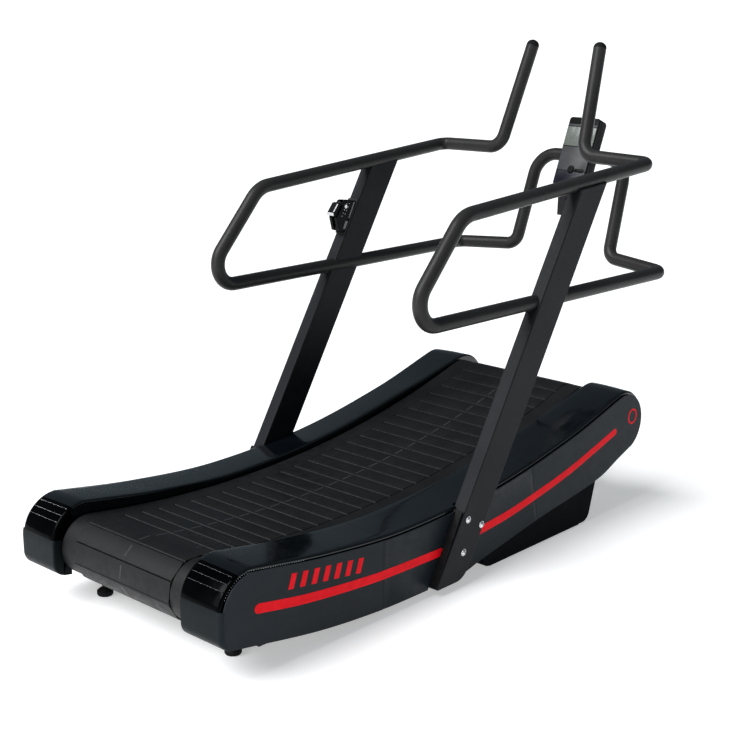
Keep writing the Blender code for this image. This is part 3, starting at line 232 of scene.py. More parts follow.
def turned(bm, profile, centre, sides):
    """Turns (radius, y) pairs round the Y line through centre (x, z)."""
    rings = []
    for radius, y in profile:
        if radius < 1e-6:
            rings.append([bm.verts.new((centre[0], y, centre[1]))])
            continue
        circle = [on_circle(centre, radius, 2 * math.pi * k / sides) for k in range(sides)]
        rings.append([bm.verts.new((x, y, z)) for x, z in circle])
    for a, b in zip(rings, rings[1:]):
        for k in range(sides):
            m = (k + 1) % sides
            if len(a) == 1:
                bm.faces.new((a[0], b[k], b[m]))
            elif len(b) == 1:
                bm.faces.new((a[k], a[m], b[0]))
            else:
                bm.faces.new((a[k], a[m], b[m], b[k]))


def rounded_path(corners, radii, steps):
    points = [Vector(corners[0])]
    for i in range(1, len(corners) - 1):
        here = Vector(corners[i])
        back = (Vector(corners[i - 1]) - here).normalized()
        ahead = (Vector(corners[i + 1]) - here).normalized()
        half = back.angle(ahead) / 2
        radius = radii[i - 1]
        reach = radius / math.tan(half)
        centre = here + (back + ahead).normalized() * (radius / math.sin(half))
        first = here + back * reach - centre
        last = here + ahead * reach - centre
        axis = first.cross(last).normalized()
        sweep = first.angle(last)
        for k in range(steps + 1):
            points.append(centre + Matrix.Rotation(sweep * k / steps, 3, axis) @ first)
    points.append(Vector(corners[-1]))
    return points


# ---- making pieces
def placed(name, data):
    """A new object in the scene."""
    obj = bpy.data.objects.new(name, data)
    bpy.context.scene.collection.objects.link(obj)
    return obj


def attach(obj, body, stands_for):
    """Puts a piece on its CAD body, with the nodes that it stands for."""
    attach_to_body(obj, body)
    if stands_for:
        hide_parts(*stands_for)
    return obj


def piece(name, bm, paint, slot, body="frame", stands_for=(), side=1, bevel=0.0, segments=2, angle=35):
    """Turns a bmesh into a finished piece on a CAD body; side -1 mirrors it to the right-hand side."""
    for vertex in bm.verts:
        vertex.co.x += SHIFT
        vertex.co.y *= side
    bmesh.ops.remove_doubles(bm, verts=bm.verts, dist=1e-6)
    bmesh.ops.recalc_face_normals(bm, faces=bm.faces)
    mesh = bpy.data.meshes.new(name)
    bm.to_mesh(mesh)
    bm.free()
    mesh.shade_smooth()
    mesh.set_sharp_from_angle(angle=math.radians(angle))
    mesh.materials.append(paint)
    obj = placed(name, mesh)
    if bevel:
        rounding = obj.modifiers.new("edges", "BEVEL")
        rounding.width = bevel
        rounding.segments = segments
        rounding.limit_method = "ANGLE"
        rounding.angle_limit = math.radians(angle)
        rounding.harden_normals = True
    return attach(obj, body, stands_for)


def prism_piece(name, outline, y_low, y_high, paint, slot, **options):
    bm = bmesh.new()
    add_prism(bm, outline, y_low, y_high)
    return piece(name, bm, paint, slot, **options)


def rail_tube(name, points, stands_for, side=1):
    """A tube of the rails' size along a path."""
    curve = bpy.data.curves.new(name, "CURVE")
    curve.dimensions = "3D"
    curve.bevel_depth = RAIL_RADIUS
    curve.bevel_resolution = 8
    curve.use_fill_caps = True
    curve.twist_mode = "MINIMUM"
    spline = curve.splines.new("POLY")
    spline.points.add(len(points) - 1)
    for target, point in zip(spline.points, points):
        target.co = (point[0] + SHIFT, point[1] * side, point[2], 1.0)
    spline.use_smooth = True
    curve.materials.append(RAIL)
    attach(placed(name, curve), "frame", stands_for)


# ---- materials
PANEL_TONES = ((0.0102, 0.0140, 0.0178), (0.0150, 0.0202, 0.0250))


class Paint:
    """Builds a node material: a Principled shader with texture helpers."""

    def __init__(self, name, metallic=0.0, coat=0.0, coat_roughness=0.05, specular=0.5):
        self.material = bpy.data.materials.new(name)
        self.material.use_nodes = True
        self.nodes = self.material.node_tree.nodes
        self.links = self.material.node_tree.links
        self.shader = self.nodes["Principled BSDF"]
        self.fill(self.shader, {"Metallic": metallic, "Coat Weight": coat,
                                "Coat Roughness": coat_roughness, "Specular IOR Level": specular})
        self.place = self.nodes.new("ShaderNodeTexCoord").outputs["Object"]

    def fill(self, node, values):
        for socket, value in values.items():
            node.inputs[socket].default_value = value
        return node

    def node(self, kind, **values):
        """A new node; underscores stand for the spaces in a socket's name."""
        return self.fill(self.nodes.new(kind), {k.replace("_", " "): v for k, v in values.items()})

    def textured(self, kind, output, vector=None, **values):
        node = self.node(kind, **values)
        self.links.new(vector or self.place, node.inputs["Vector"])
        return node.outputs[output]

    def noise(self, scale, detail=4.0, vector=None):
        return self.textured("ShaderNodeTexNoise", "Fac", vector, Scale=scale, Detail=detail, Roughness=0.55)

    def cells(self, scale):
        return self.textured("ShaderNodeTexVoronoi", "Distance", Scale=scale)

    def ranged(self, value, low, high, from_low=0.3, from_high=0.7):
        node = self.node("ShaderNodeMapRange",
                         From_Min=from_low, From_Max=from_high, To_Min=low, To_Max=high)
        self.links.new(value, node.inputs["Value"])
        return node.outputs["Result"]

    def mixed(self, value, first, second):
        node = self.nodes.new("ShaderNodeMix")
        node.data_type = "RGBA"
        for socket, colour in (("A", first), ("B", second)):
            target = next(s for s in node.inputs if s.name == socket and s.type == "RGBA")
            if isinstance(colour, tuple):
                target.default_value = (*colour, 1.0)
            else:
                self.links.new(colour, target)
        self.links.new(value, node.inputs["Factor"])
        return next(s for s in node.outputs if s.type == "RGBA")

    def drift(self, dark, light, *noise):
        """A tone that wanders between two tones on a noise."""
        return self.mixed(self.ranged(self.noise(*noise), 0, 1), dark, light)

    def colour(self, source):
        self.links.new(source, self.shader.inputs["Base Color"])

    def tones(self, dark, light, *noise):
        self.colour(self.drift(dark, light, *noise))

    def rough(self, low, high, *noise):
        self.links.new(self.ranged(self.noise(*noise), low, high), self.shader.inputs["Roughness"])

    def bump(self, *heights):
        """Each height is (value, strength, distance in metres); returns the finished material."""
        normal = None
        for value, strength, distance in heights:
            node = self.node("ShaderNodeBump", Strength=strength, Distance=distance)
            self.links.new(value, node.inputs["Height"])
            if normal:
                self.links.new(normal, node.inputs["Normal"])
            normal = node.outputs["Normal"]
        self.links.new(normal, self.shader.inputs["Normal"])
        return self.material

    def grain(self, scale, strength):
        return self.bump((self.noise(scale, 2.0), strength, 0.0002))


def gloss_cover(name, dark, light, specular, coat):
    """Polished black moulding: faint waviness, a little dust and fine smears in the gloss."""
    p = Paint(name, coat=coat, coat_roughness=0.04, specular=specular)
    p.tones(dark, light, 4.0, 3.0)
    p.rough(0.07, 0.17, 16.0, 6.0)
    return p.bump((p.noise(22.0, 1.0), 0.10, 0.001), (p.noise(700.0, 2.0), 0.03, 0.0002))


def satin_grain(p):
    """The spark-eroded surface of the panels."""
    p.rough(0.32, 0.46, 60.0)
    return p.bump((p.noise(1400.0, 2.0), 0.10, 0.0002), (p.noise(9.0, 1.0), 0.05, 0.002))


def satin_panel():
    """Satin blue-grey moulding with a fine spark-eroded grain."""
    p = Paint("satin_panel", specular=0.09)
    p.tones(*PANEL_TONES, 5.0)
    return satin_grain(p)


def rear_panel():
    """The side panel's moulding where it turns round the back, with painted shade: darker from the rounded
    edge inwards.
    """
    p = Paint("rear_panel", specular=0.06)
    across = p.nodes.new("ShaderNodeMath")
    across.operation = "ABSOLUTE"
    p.links.new(p.textured("ShaderNodeSeparateXYZ", "Y"), across.inputs[0])
    drift = p.ranged(p.noise(5.0), 0, 1)
    # painted shade: the darker tones on the wrap's face, away from the rounded edge
    dark = p.mixed(drift, (0.0050, 0.0068, 0.0080), (0.0080, 0.0106, 0.0122))
    edge = p.mixed(drift, *PANEL_TONES)
    p.colour(p.mixed(p.ranged(across.outputs[0], 0, 1, PANEL_OUT - 0.016, PANEL_OUT), dark, edge))
    return satin_grain(p)


def powder_coat(name, dark, light, low, high, specular):
    """Satin black powder coat: orange peel, slight colour drift, edges rubbed a little brighter."""
    p = Paint(name, specular=specular)
    base = p.drift(dark, light, 7.0)
    edge = p.nodes.new("ShaderNodeNewGeometry").outputs["Pointiness"]
    worn = tuple(min(1.0, c * 1.7) for c in light)
    p.colour(p.mixed(p.ranged(edge, 0.0, 0.5, 0.56, 0.66), base, worn))
    p.rough(low, high, 120.0, 3.0)
    return p.bump((p.noise(420.0, 2.0), 0.16, 0.0003), (p.noise(2200.0, 1.0), 0.05, 0.0001))


def belt_slat():
    """Moulded rubber slat: fine pimples, uneven tone and gloss."""
    p = Paint("belt_slat", specular=0.24)
    p.tones((0.0030, 0.0031, 0.0036), (0.0062, 0.0064, 0.0072), 11.0, 5.0)
    p.rough(0.44, 0.62, 45.0, 5.0)
    return p.bump((p.cells(420.0), 0.35, 0.0005), (p.noise(1800.0, 2.0), 0.15, 0.0002))


def painted_highlight_lip():
    """The slat's rear lip, painted a lighter grey as a highlight."""
    p = Paint("painted_highlight_lip", specular=0.2)
    p.tones((0.012, 0.012, 0.013), (0.034, 0.034, 0.036), 160.0)
    p.rough(0.36, 0.55, 90.0, 3.0)
    return p.grain(1500.0, 0.10)


def belt_mark():
    """Smooth dark grey print."""
    p = Paint("belt_mark", specular=0.15)
    patches = p.ranged(p.noise(240.0), 0, 1, 0.35, 0.65)
    p.colour(p.mixed(patches, (0.026, 0.026, 0.028), (0.046, 0.046, 0.049)))
    p.rough(0.24, 0.42, 90.0, 3.0)
    return p.grain(1500.0, 0.10)


def red_paint():
    """Red print on the panel, with a slightly uneven lacquer."""
    p = Paint("red_paint", specular=0.05)
    p.tones((0.80, 0.004, 0.012), (0.95, 0.008, 0.018), 30.0)
    p.rough(0.30, 0.44, 80.0)
    return p.grain(1200.0, 0.08)


def matt_rubber():
    p = Paint("matt_rubber", specular=0.15)
    p.tones((0.004, 0.004, 0.0045), (0.010, 0.010, 0.0105), 25.0, 5.0)
    p.rough(0.70, 0.90, 70.0)
    return p.bump((p.noise(900.0, 3.0), 0.30, 0.0003))


def grained_plastic(name, dark, light, specular):
    """Black moulding with a fine leather-like grain."""
    p = Paint(name, specular=specular)
    p.tones(dark, light, 12.0)
    p.rough(0.38, 0.52, 90.0)
    return p.bump((p.cells(900.0), 0.18, 0.0002), (p.noise(2400.0, 1.0), 0.06, 0.0001))


def zinc_steel():
    """Zinc plate: cloudy crystals and a fine grain."""
    p = Paint("zinc_steel", metallic=1.0)
    p.colour(p.mixed(p.ranged(p.cells(160.0), 0, 1, 0.0, 0.6), (0.52, 0.53, 0.55), (0.74, 0.74, 0.76)))
    p.rough(0.20, 0.40, 220.0)
    return p.grain(1200.0, 0.08)


def machined_alloy():
    """Turned aluminium: marks that run round the Y axis."""
    p = Paint("machined_alloy", metallic=1.0)
    marks = p.noise(900.0, 2.0, p.textured("ShaderNodeMapping", "Vector", Scale=(0.05, 1.0, 0.05)))
    p.colour(p.mixed(p.ranged(marks, 0, 1), (0.60, 0.60, 0.62), (0.78, 0.78, 0.80)))
    p.rough(0.24, 0.40, 60.0)
    return p.bump((marks, 0.10, 0.0002))


def console_grey():
    p = Paint("console_grey", specular=0.25)
    p.tones((0.040, 0.041, 0.044), (0.056, 0.057, 0.061), 35.0)
    p.rough(0.34, 0.50, 120.0)
    return p.grain(1600.0, 0.12)


def console_blue():
    p = Paint("console_blue", specular=0.2)
    p.tones((0.0055, 0.0062, 0.0115), (0.0090, 0.0100, 0.0180), 40.0)
    p.rough(0.28, 0.42, 110.0)
    return p.grain(1600.0, 0.10)


def display_glass():
    """Grey display with faint checks behind a clear window."""
    p = Paint("display_glass", coat=0.1, coat_roughness=0.10, specular=0.3)
    checks = p.textured("ShaderNodeTexChecker", "Color", Scale=420.0,
                        Color1=(0.125, 0.140, 0.128, 1), Color2=(0.150, 0.168, 0.153, 1))
    p.colour(p.mixed(p.ranged(p.noise(18.0, 3.0), 0.0, 0.5), checks, (0.105, 0.118, 0.110)))
    p.rough(0.20, 0.30, 50.0, 3.0)
    return p.bump((p.noise(500.0, 1.0), 0.02, 0.0001))


def pale_lever(name, dark, light):
    """Satin silver paint."""
    p = Paint(name, metallic=0.4)
    p.tones(dark, light, 60.0)
    p.rough(0.24, 0.40, 150.0)
    return p.grain(1500.0, 0.08)


def floor_paint():
    """Pale studio floor, lit a little from within so that it stays white to the edge of the view."""
    p = Paint("floor_paint", specular=0.0)
    p.tones((0.76, 0.765, 0.77), (0.79, 0.79, 0.795), 0.8, 3.0)
    p.rough(0.75, 0.90, 3.0, 3.0)
    p.fill(p.shader, {"Emission Color": (1.0, 1.0, 1.0, 1.0), "Emission Strength": 0.42})
    return p.material


GLOSS = gloss_cover("gloss_cover", (0.0012, 0.0018, 0.0026), (0.0030, 0.0042, 0.0058), 0.40, 0.20)
# painted shade: a darker, far less glossy copy of the cover's finish for the rear cap
SHADED_CAP = gloss_cover("shaded_gloss_cap", (0.0003, 0.0003, 0.0004), (0.0008, 0.0010, 0.0012), 0.04, 0.00)
PANEL = satin_panel()
# the rear wrap's finish, with painted shade
SHADED_WRAP = rear_panel()
POST = powder_coat("post_coat", (0.0108, 0.0113, 0.0134), (0.0158, 0.0164, 0.0190), 0.34, 0.48, 0.08)
RAIL = powder_coat("rail_coat", (0.0190, 0.0184, 0.0184), (0.0265, 0.0258, 0.0258), 0.30, 0.42, 0.14)
SLAT = belt_slat()
# painted highlight on the slats' rear lips
HIGHLIGHT_LIP = painted_highlight_lip()
MARK = belt_mark()
RED = red_paint()
RUBBER = matt_rubber()
PLASTIC = grained_plastic("grained_plastic", (0.0060, 0.0062, 0.0070), (0.0110, 0.0112, 0.0125), 0.25)
BASE = grained_plastic("base_plastic", (0.0036, 0.0041, 0.0056), (0.0060, 0.0067, 0.0088), 0.01)
SHINY = grained_plastic("console_black", (0.0020, 0.0021, 0.0025), (0.0040, 0.0041, 0.0048), 0.08)
ZINC = zinc_steel()
ALLOY = machined_alloy()
FACE = console_grey()
BLUE = console_blue()
DISPLAY = display_glass()
LEVER = pale_lever("pale_lever", (0.52, 0.52, 0.53), (0.74, 0.74, 0.75))
TRIM = pale_lever("lever_trim", (0.10, 0.10, 0.105), (0.18, 0.18, 0.185))


# ---- covers and panels
def crown(x):
    """Rise of the covers' inner edge, highest along the middle of the walk."""
    fall = min(max((0.62 - x) / 0.25, 0.0), 1.0)
    return 0.003 + 0.014 * eased((x + 0.60) / 0.90) * fall


def station(centre, radius, a):
    """A (x, z, outward normal) place on a circle."""
    return (*on_circle(centre, radius, a), (math.cos(a), math.sin(a)))


def arc_stations(centre, radius, start, end, count):
    return [station(centre, radius, a) for a in spread(start, end, count)]


def run_station(x):
    slope = (cover_top(x + 0.002) - cover_top(x - 0.002)) / 0.004
    long = math.hypot(slope, 1.0)
    return (x, cover_top(x), (-slope / long, 1.0 / long))


def cap_stations():
    """Round the rear drum, with a fine V groove across the cap at each groove angle."""
    angles = [(a, 0.0) for a in spread(math.pi - CAP_EDGE_ANGLE, CAP_TOP_ANGLE, 26)
              if all(abs(a - g) > 2.5 * GROOVE_HALF for g in CAP_GROOVES)]
    for g in CAP_GROOVES:
        angles += [(g + GROOVE_HALF, 0.0), (g, GROOVE_DEPTH), (g - GROOVE_HALF, 0.0)]
    return [station(CAP_CENTRE, CAP_RADIUS - deep, a) for a, deep in sorted(angles, reverse=True)]


def rim_path(start, end):
    cap = cap_stations()
    nose = arc_stations(NOSE_CENTRE, NOSE_RADIUS, NOSE_TOP_ANGLE, math.radians(-92), 56)
    places = {
        "cap": cap[-1][0], "rear_seam": SEAM_REAR_X, "front_seam": SEAM_FRONT_TOP_X, "nose": nose[0][0],
    }
    low = places[start]
    high = places[end]
    stations = [run_station(x) for x in spread(low, high, max(4, round((high - low) / 0.012)))]
    if start == "cap":
        stations = cap + stations[1:]
    if end == "nose":
        stations = stations[:-1] + nose
    return stations


def sweep_section(stations, section):
    bm = bmesh.new()
    rings = []
    for x, z, (nx, nz) in stations:
        rings.append([bm.verts.new((x + nx * n, y, z + nz * n)) for y, n in section(x)])
    join_rings(bm, rings)
    return bm


def cover_rise(x, t):
    """Height of the cover's crown over its path, from its inner edge (t = 0) to its outer edge (t = 1)."""
    return crown(x) * (1 - t) + 0.0012 * math.sin(math.pi * t)


def cover_section(x):
    """Rounded inner and outer edges with a very slight crown between them."""
    c = crown(x)
    inner = arc((COVER_IN + 0.006, c - 0.006), 0.006, math.pi, math.pi / 2, 6)
    outer = arc((COVER_OUT - 0.007, -0.007), 0.007, math.pi / 2, 0.0, 6)
    middle = [(inner[-1][0] + (outer[0][0] - inner[-1][0]) * t, cover_rise(x, t))
              for t in spread(0.0, 1.0, 8)[1:-1]]
    return [(COVER_IN, -FLANGE)] + inner + middle + outer + [
        (COVER_OUT, -0.013), (COVER_OUT - SKIN, -0.013), (COVER_OUT - SKIN, -0.009),
        (COVER_OUT - 0.010, -SKIN - 0.0005), (COVER_IN + 0.008, c - SKIN - 0.001),
        (COVER_IN + SKIN, c - 0.008), (COVER_IN + SKIN, -FLANGE),
    ]


def add_bead(bm, at, y):
    """A tiny eight-faced bead."""
    tips = [bm.verts.new((at[0], y + out, at[1])) for out in (-BEAD, BEAD)]
    ring = [bm.verts.new((x, y, z)) for x, z in arc(at, BEAD, 0.0, 1.5 * math.pi, 4)]
    for i in range(4):
        for tip in tips:
            bm.faces.new((ring[i], ring[(i + 1) % 4], tip))


def cap_glint_beads(hand, side):
    """Rows of bright zinc beads in the cap's grooves, and one along the seam over the side panel, as painted
    glints.
    """
    bm = bmesh.new()
    for angle in CAP_GROOVES:
        for t in spread(0.03, 0.97, 26):
            y = COVER_IN + 0.006 + (COVER_OUT - COVER_IN - 0.013) * t
            reach = CAP_RADIUS - 0.0003 + cover_rise(CAP_CENTRE[0], t)
            add_bead(bm, on_circle(CAP_CENTRE, reach, angle), y)
    seam = arc(CAP_CENTRE, CAP_RADIUS - BEAD_DROP, math.radians(150), CAP_TOP_ANGLE, 14)
    seam += [(x, cover_top(x) - BEAD_DROP) for x in spread(seam[-1][0] + 0.007, -0.700, 24)]
    for at in seam:
        add_bead(bm, at, COVER_OUT + 0.0012)
    # the beads' bright zinc is a painted highlight
    piece(f"{hand}_cap_beads", bm, ZINC, "bare_steel", side=side)


def cut_away(obj, bm, name):
    """Takes a closed shape out of a piece and keeps the result as its mesh."""
    bmesh.ops.recalc_face_normals(bm, faces=bm.faces)
    mesh = bpy.data.meshes.new(name)
    bm.to_mesh(mesh)
    bm.free()
    tool = placed(name, mesh)
    cut = obj.modifiers.new(name, "BOOLEAN")
    cut.object = tool
    cut.solver = "EXACT"
    graph = bpy.context.evaluated_depsgraph_get()
    solved = bpy.data.meshes.new_from_object(obj.evaluated_get(graph))
    obj.modifiers.clear()
    obj.data = solved
    obj.data.shade_smooth()
    obj.data.set_sharp_from_angle(angle=math.radians(35))
    bpy.data.objects.remove(tool)


def cut_by_post(obj, name, y_low, clearance, side):
    """Clears the piece round the upright."""
    low, high = -0.05, 0.45
    corners = ((low, -clearance), (low, clearance), (high, clearance), (high, -clearance))
    bm = bmesh.new()
    add_prism(bm, [(channel_x(z, clear) + SHIFT, z) for z, clear in corners], y_low, 0.45)
    for vertex in bm.verts:
        vertex.co.y *= side
    cut_away(obj, bm, name)


def top_covers(hand, side):
    cap_end = on_circle(CAP_CENTRE, CAP_RADIUS, CAP_FINISH_ANGLE)[0]
    for part, start, end in (("rear", "cap", "rear_seam"), ("middle", "rear_seam", "front_seam"),
                             ("front", "front_seam", "nose")):
        stations = rim_path(start, end)
        if start != "cap":
            x, z, n = stations[0]
            stations[0] = (x + 0.0010, z, n)
        bm = sweep_section(stations, cover_section)
        # faces round the rear cap take the painted-shade copy of the finish
        for face in bm.faces:
            if face.calc_center_median().x < cap_end:
                face.material_index = 1
        obj = piece(f"{hand}_{part}_cover_shell", bm, GLOSS, stands_for=[f"{hand}_{part}_cover"],
                    slot="gloss_black", side=side)
        if part == "rear":
            obj.data.materials.append(SHADED_CAP)
        if part == "middle":
            cut_by_post(obj, f"cut_{hand}_cover", POST_IN - 0.006, 0.005, side)


def panel_top(x):
    return cover_top(x) - TRIM_DROP


def edge_points(height, start, end):
    return [(x, height(x)) for x in spread(start, end, max(4, round(abs(end - start) / 0.015)))]


def panel_outline(x_top, x_low, extra_start=(), extra_end=()):
    low = edge_points(cover_low, x_low[1], x_low[0])
    return edge_points(panel_top, *x_top) + list(extra_end) + low + list(extra_start)


def plate(name, outline, stands_for, side, bevel=0.0008):
    return prism_piece(name, outline, PANEL_OUT - PANEL_THICK, PANEL_OUT, PANEL, "panel_grey",
                       stands_for=stands_for, side=side, bevel=bevel)


def wrap_rounding(x):
    """Radius of the rounded edge between the side panel and the rear wrap: it runs out under the heel."""
    return 0.002 + (WRAP_ROUND - 0.002) * eased((-0.9358 - x) / 0.020)


def wrap_section(x):
    r = wrap_rounding(x)
    rounded = arc((PANEL_OUT - r, -r), r, math.pi / 2, 0.0, 9)
    return [(COVER_IN, -FLANGE), (COVER_IN, -0.003), (COVER_IN + 0.003, 0.0)] + rounded + [
        (PANEL_OUT - SKIN, -r), (PANEL_OUT - SKIN, -r - 0.0002), (PANEL_OUT - r - 0.001, -SKIN - 0.0002),
        (COVER_IN + SKIN, -SKIN - 0.0002), (COVER_IN + SKIN, -FLANGE),
    ]


def rear_wrap(hand, side):
    stations = arc_stations(HEEL_CENTRE, HEEL_RADIUS, HEEL_LOW_ANGLE, HEEL_TOP_ANGLE, 18)
    stations += arc_stations(CAP_CENTRE, CAP_RADIUS, math.pi + 0.02, math.pi - CAP_EDGE_ANGLE + 0.008, 8)
    bm = sweep_section(stations, wrap_section)
    x, z, _ = stations[0]
    end = (x + WRAP_UNDER, cover_low(x + WRAP_UNDER))
    for rise, out in ((SKIN, PANEL_OUT - PANEL_THICK - 0.0002), (FLANGE, COVER_IN + SKIN)):
        add_prism(bm, [(x, z), end, (end[0], end[1] + rise), (x, z + rise)], COVER_IN, out)
    piece(f"{hand}_rear_wrap", bm, SHADED_WRAP, "panel_grey", side=side)


def rear_edge():
    """The rear panel's outline from under the heel up to the cover, from where the wrap's rounding ends."""
    points = []
    for a in spread(HEEL_LOW_ANGLE, HEEL_TOP_ANGLE, 18):
        reach = HEEL_RADIUS - wrap_rounding(on_circle(HEEL_CENTRE, HEEL_RADIUS, a)[0])
        points.append(on_circle(HEEL_CENTRE, reach, a))
    points += arc(CAP_CENTRE, CAP_RADIUS - WRAP_ROUND, math.pi + 0.02, math.pi - CAP_EDGE_ANGLE, 8)
    points += arc(CAP_CENTRE, CAP_RADIUS - TRIM_DROP, math.pi - CAP_EDGE_ANGLE, CAP_TOP_ANGLE, 26)[:-1]
    return points


def side_panels(hand, side):
    top_x = on_circle(CAP_CENTRE, CAP_RADIUS - TRIM_DROP, CAP_TOP_ANGLE)[0]
    edge = rear_edge()
    seam = SEAM_REAR_X - SEAM_GAP
    plate(f"{hand}_rear_panel_skin",
          panel_outline((top_x, seam), (edge[0][0] + 0.003, seam), edge),
          [f"{hand}_rear_panel"], side, bevel=0.0)
    rear_wrap(hand, side)
    middle = plate(f"{hand}_middle_panel_skin",
                   panel_outline((SEAM_REAR_X, SEAM_FRONT_TOP_X), (SEAM_REAR_X, SEAM_FRONT_LOW_X)),
                   [f"{hand}_middle_panel"], side)
    cut_by_post(middle, f"cut_{hand}_panel", 0.3, 0.006, side)
    nose = arc(NOSE_CENTRE, NOSE_RADIUS - TRIM_DROP, NOSE_TOP_ANGLE, math.radians(-62), 50)
    plate(f"{hand}_front_panel_skin",
          panel_outline((SEAM_FRONT_TOP_X + SEAM_GAP, nose[0][0]), (SEAM_FRONT_LOW_X + SEAM_GAP, 0.600),
                        extra_end=nose[1:]),
          [f"{hand}_front_panel"], side)


def upright_channels(hand, side):
    """The recess in the side panel that the upright stands in, in black rubber as painted shade."""
    clear = 0.006
    wall = 0.003
    low, top = 0.030, 0.197
    base = POST_IN - GAP
    bm = bmesh.new()

    def block(corners, y_low, y_high):
        """Corners are (height, clearance to the upright, rise over that height)."""
        add_prism(bm, [(channel_x(z, out), z + rise) for z, out, rise in corners], y_low, y_high)

    block([(low, -clear - wall, 0.0), (low, clear + wall, 0.004),
           (top, clear + wall, 0.010), (top, -clear - wall, 0.0)], 0.3569, base)
    for a, b in ((-clear - wall, -clear), (clear, clear + wall)):
        block([(low, a, 0.002), (low, b, 0.002), (top, b, 0.0), (top, a, 0.0)],
              base, PANEL_OUT - PANEL_THICK - 0.0002)
    block([(low, -0.0045, 0.002), (low, -0.0006, 0.002), (top, -0.0006, 0.014), (top, -0.0045, 0.010)],
          base, POST_OUT - 0.0015)
    # black rubber here is painted shade in the gap round the upright
    piece(f"{hand}_upright_recess", bm, RUBBER, "panel_grey", side=side)


# ---- red marks
def ribbon(name, spine, side):
    """A flat stripe on the side panel along (x, z, width) points, with round ends."""
    path = [Vector((x, z)) for x, z, _ in spine]
    upper = []
    lower = []
    for i, (_, _, width) in enumerate(spine):
        along = (path[min(i + 1, len(path) - 1)] - path[max(i - 1, 0)]).normalized()
        across = Vector((-along.y, along.x)) * width / 2
        upper.append(path[i] + across)
        lower.append(path[i] - across)
    outline = list(upper)
    for end, first in ((path[-1], upper[-1]), (path[0], lower[0])):
        outline += [end + Matrix.Rotation(-math.pi * k / 10, 2) @ (first - end) for k in range(1, 10)]
        if end is path[-1]:
            outline += lower[::-1]
    prism_piece(name, outline, *PRINT, RED, "panel_grey", side=side)


def stripe_points(points, start_width, end_width, count):
    curve = smooth_through(points)
    xs = spread(points[0][0], points[-1][0], count)
    return [(x, curve(x), width) for x, width in zip(xs, spread(start_width, end_width, count))]


def red_marks(hand, side):
    rear = [(-0.8496, 0.1680), (-0.6983, 0.1423), (-0.4788, 0.1200), (-0.3610, 0.1147), (-0.2130, 0.1115)]
    front = [(-0.0560, 0.1245), (0.0634, 0.1354), (0.1709, 0.1522), (0.3394, 0.1847), (0.4565, 0.2157),
             (0.5778, 0.2510)]
    ribbon(f"{hand}_rear_stripe", stripe_points(rear, 0.0240, 0.0225, 30), side)
    ribbon(f"{hand}_front_stripe", stripe_points(front, 0.0230, 0.0200, 30), side)
    bm = bmesh.new()
    near, far = PRINT
    turned(bm, [(0.0180, near), (0.0180, far), (0.0235, far), (0.0235, near), (0.0180, near)],
           (0.6705, 0.279), 48)
    piece(f"{hand}_ring", bm, RED, "panel_grey", side=side)
    bm = bmesh.new()
    for k in range(7):
        x = -0.757 + 0.0375 * k
        z = 0.1835 - 0.0053 * k
        corners = ((0.0, 0.0), (0.017, -0.0024), (0.029, 0.0336), (0.012, 0.036))
        add_prism(bm, [(x + dx, z + dz) for dx, dz in corners], near, far)
    piece(f"{hand}_bars", bm, RED, "panel_grey", side=side)


# ---- belt
def direction_to(centre, point):
    return math.atan2(point[1] - centre[1], point[0] - centre[0])


def belt_arcs():
    """The four (centre, radius, start, end) arcs of the belt's outer surface."""
    rear = Vector(REAR_DRUM)
    front = Vector(FRONT_DRUM)
    dish = Vector((DISH_X, DISH_Z + DISH_RADIUS))
    a = RETURN_RADIUS - REAR_BELT_RADIUS
    b = RETURN_RADIUS - FRONT_BELT_RADIUS
    apart = (front - rear).length
    along = (front - rear) / apart
    foot = (apart**2 + a**2 - b**2) / (2 * apart)
    sag = rear + along * foot + Vector((-along.y, along.x)) * math.sqrt(a**2 - foot**2)
    top_start = direction_to(dish, rear)
    top_end = direction_to(dish, front)
    return [
        (dish, DISH_RADIUS, top_start, top_end),
        (front, FRONT_BELT_RADIUS, top_end + math.pi, direction_to(sag, front)),
        (sag, RETURN_RADIUS, direction_to(sag, front), direction_to(sag, rear)),
        (rear, REAR_BELT_RADIUS, direction_to(sag, rear) + 2 * math.pi, top_start + math.pi),
    ]


def belt_places(count, offset=0.0):
    """Evenly spaced (point, tangent, outward normal) along the belt's outer surface."""
    arcs = belt_arcs()
    lengths = [abs(e - s) * r for _, r, s, e in arcs]
    total = sum(lengths)
    places = []
    for k in range(count):
        d = (total * k / count + offset) % total
        i = 0
        while i < 3 and d > lengths[i]:
            d -= lengths[i]
            i += 1
        centre, radius, start, end = arcs[i]
        a = start + (end - start) * d / lengths[i]
        direction = Vector((math.cos(a), math.sin(a)))
        tangent = Vector((-direction.y, direction.x)) * (1 if end > start else -1)
        places.append((centre + direction * radius, tangent, Vector((-tangent.y, tangent.x))))
    return places, total


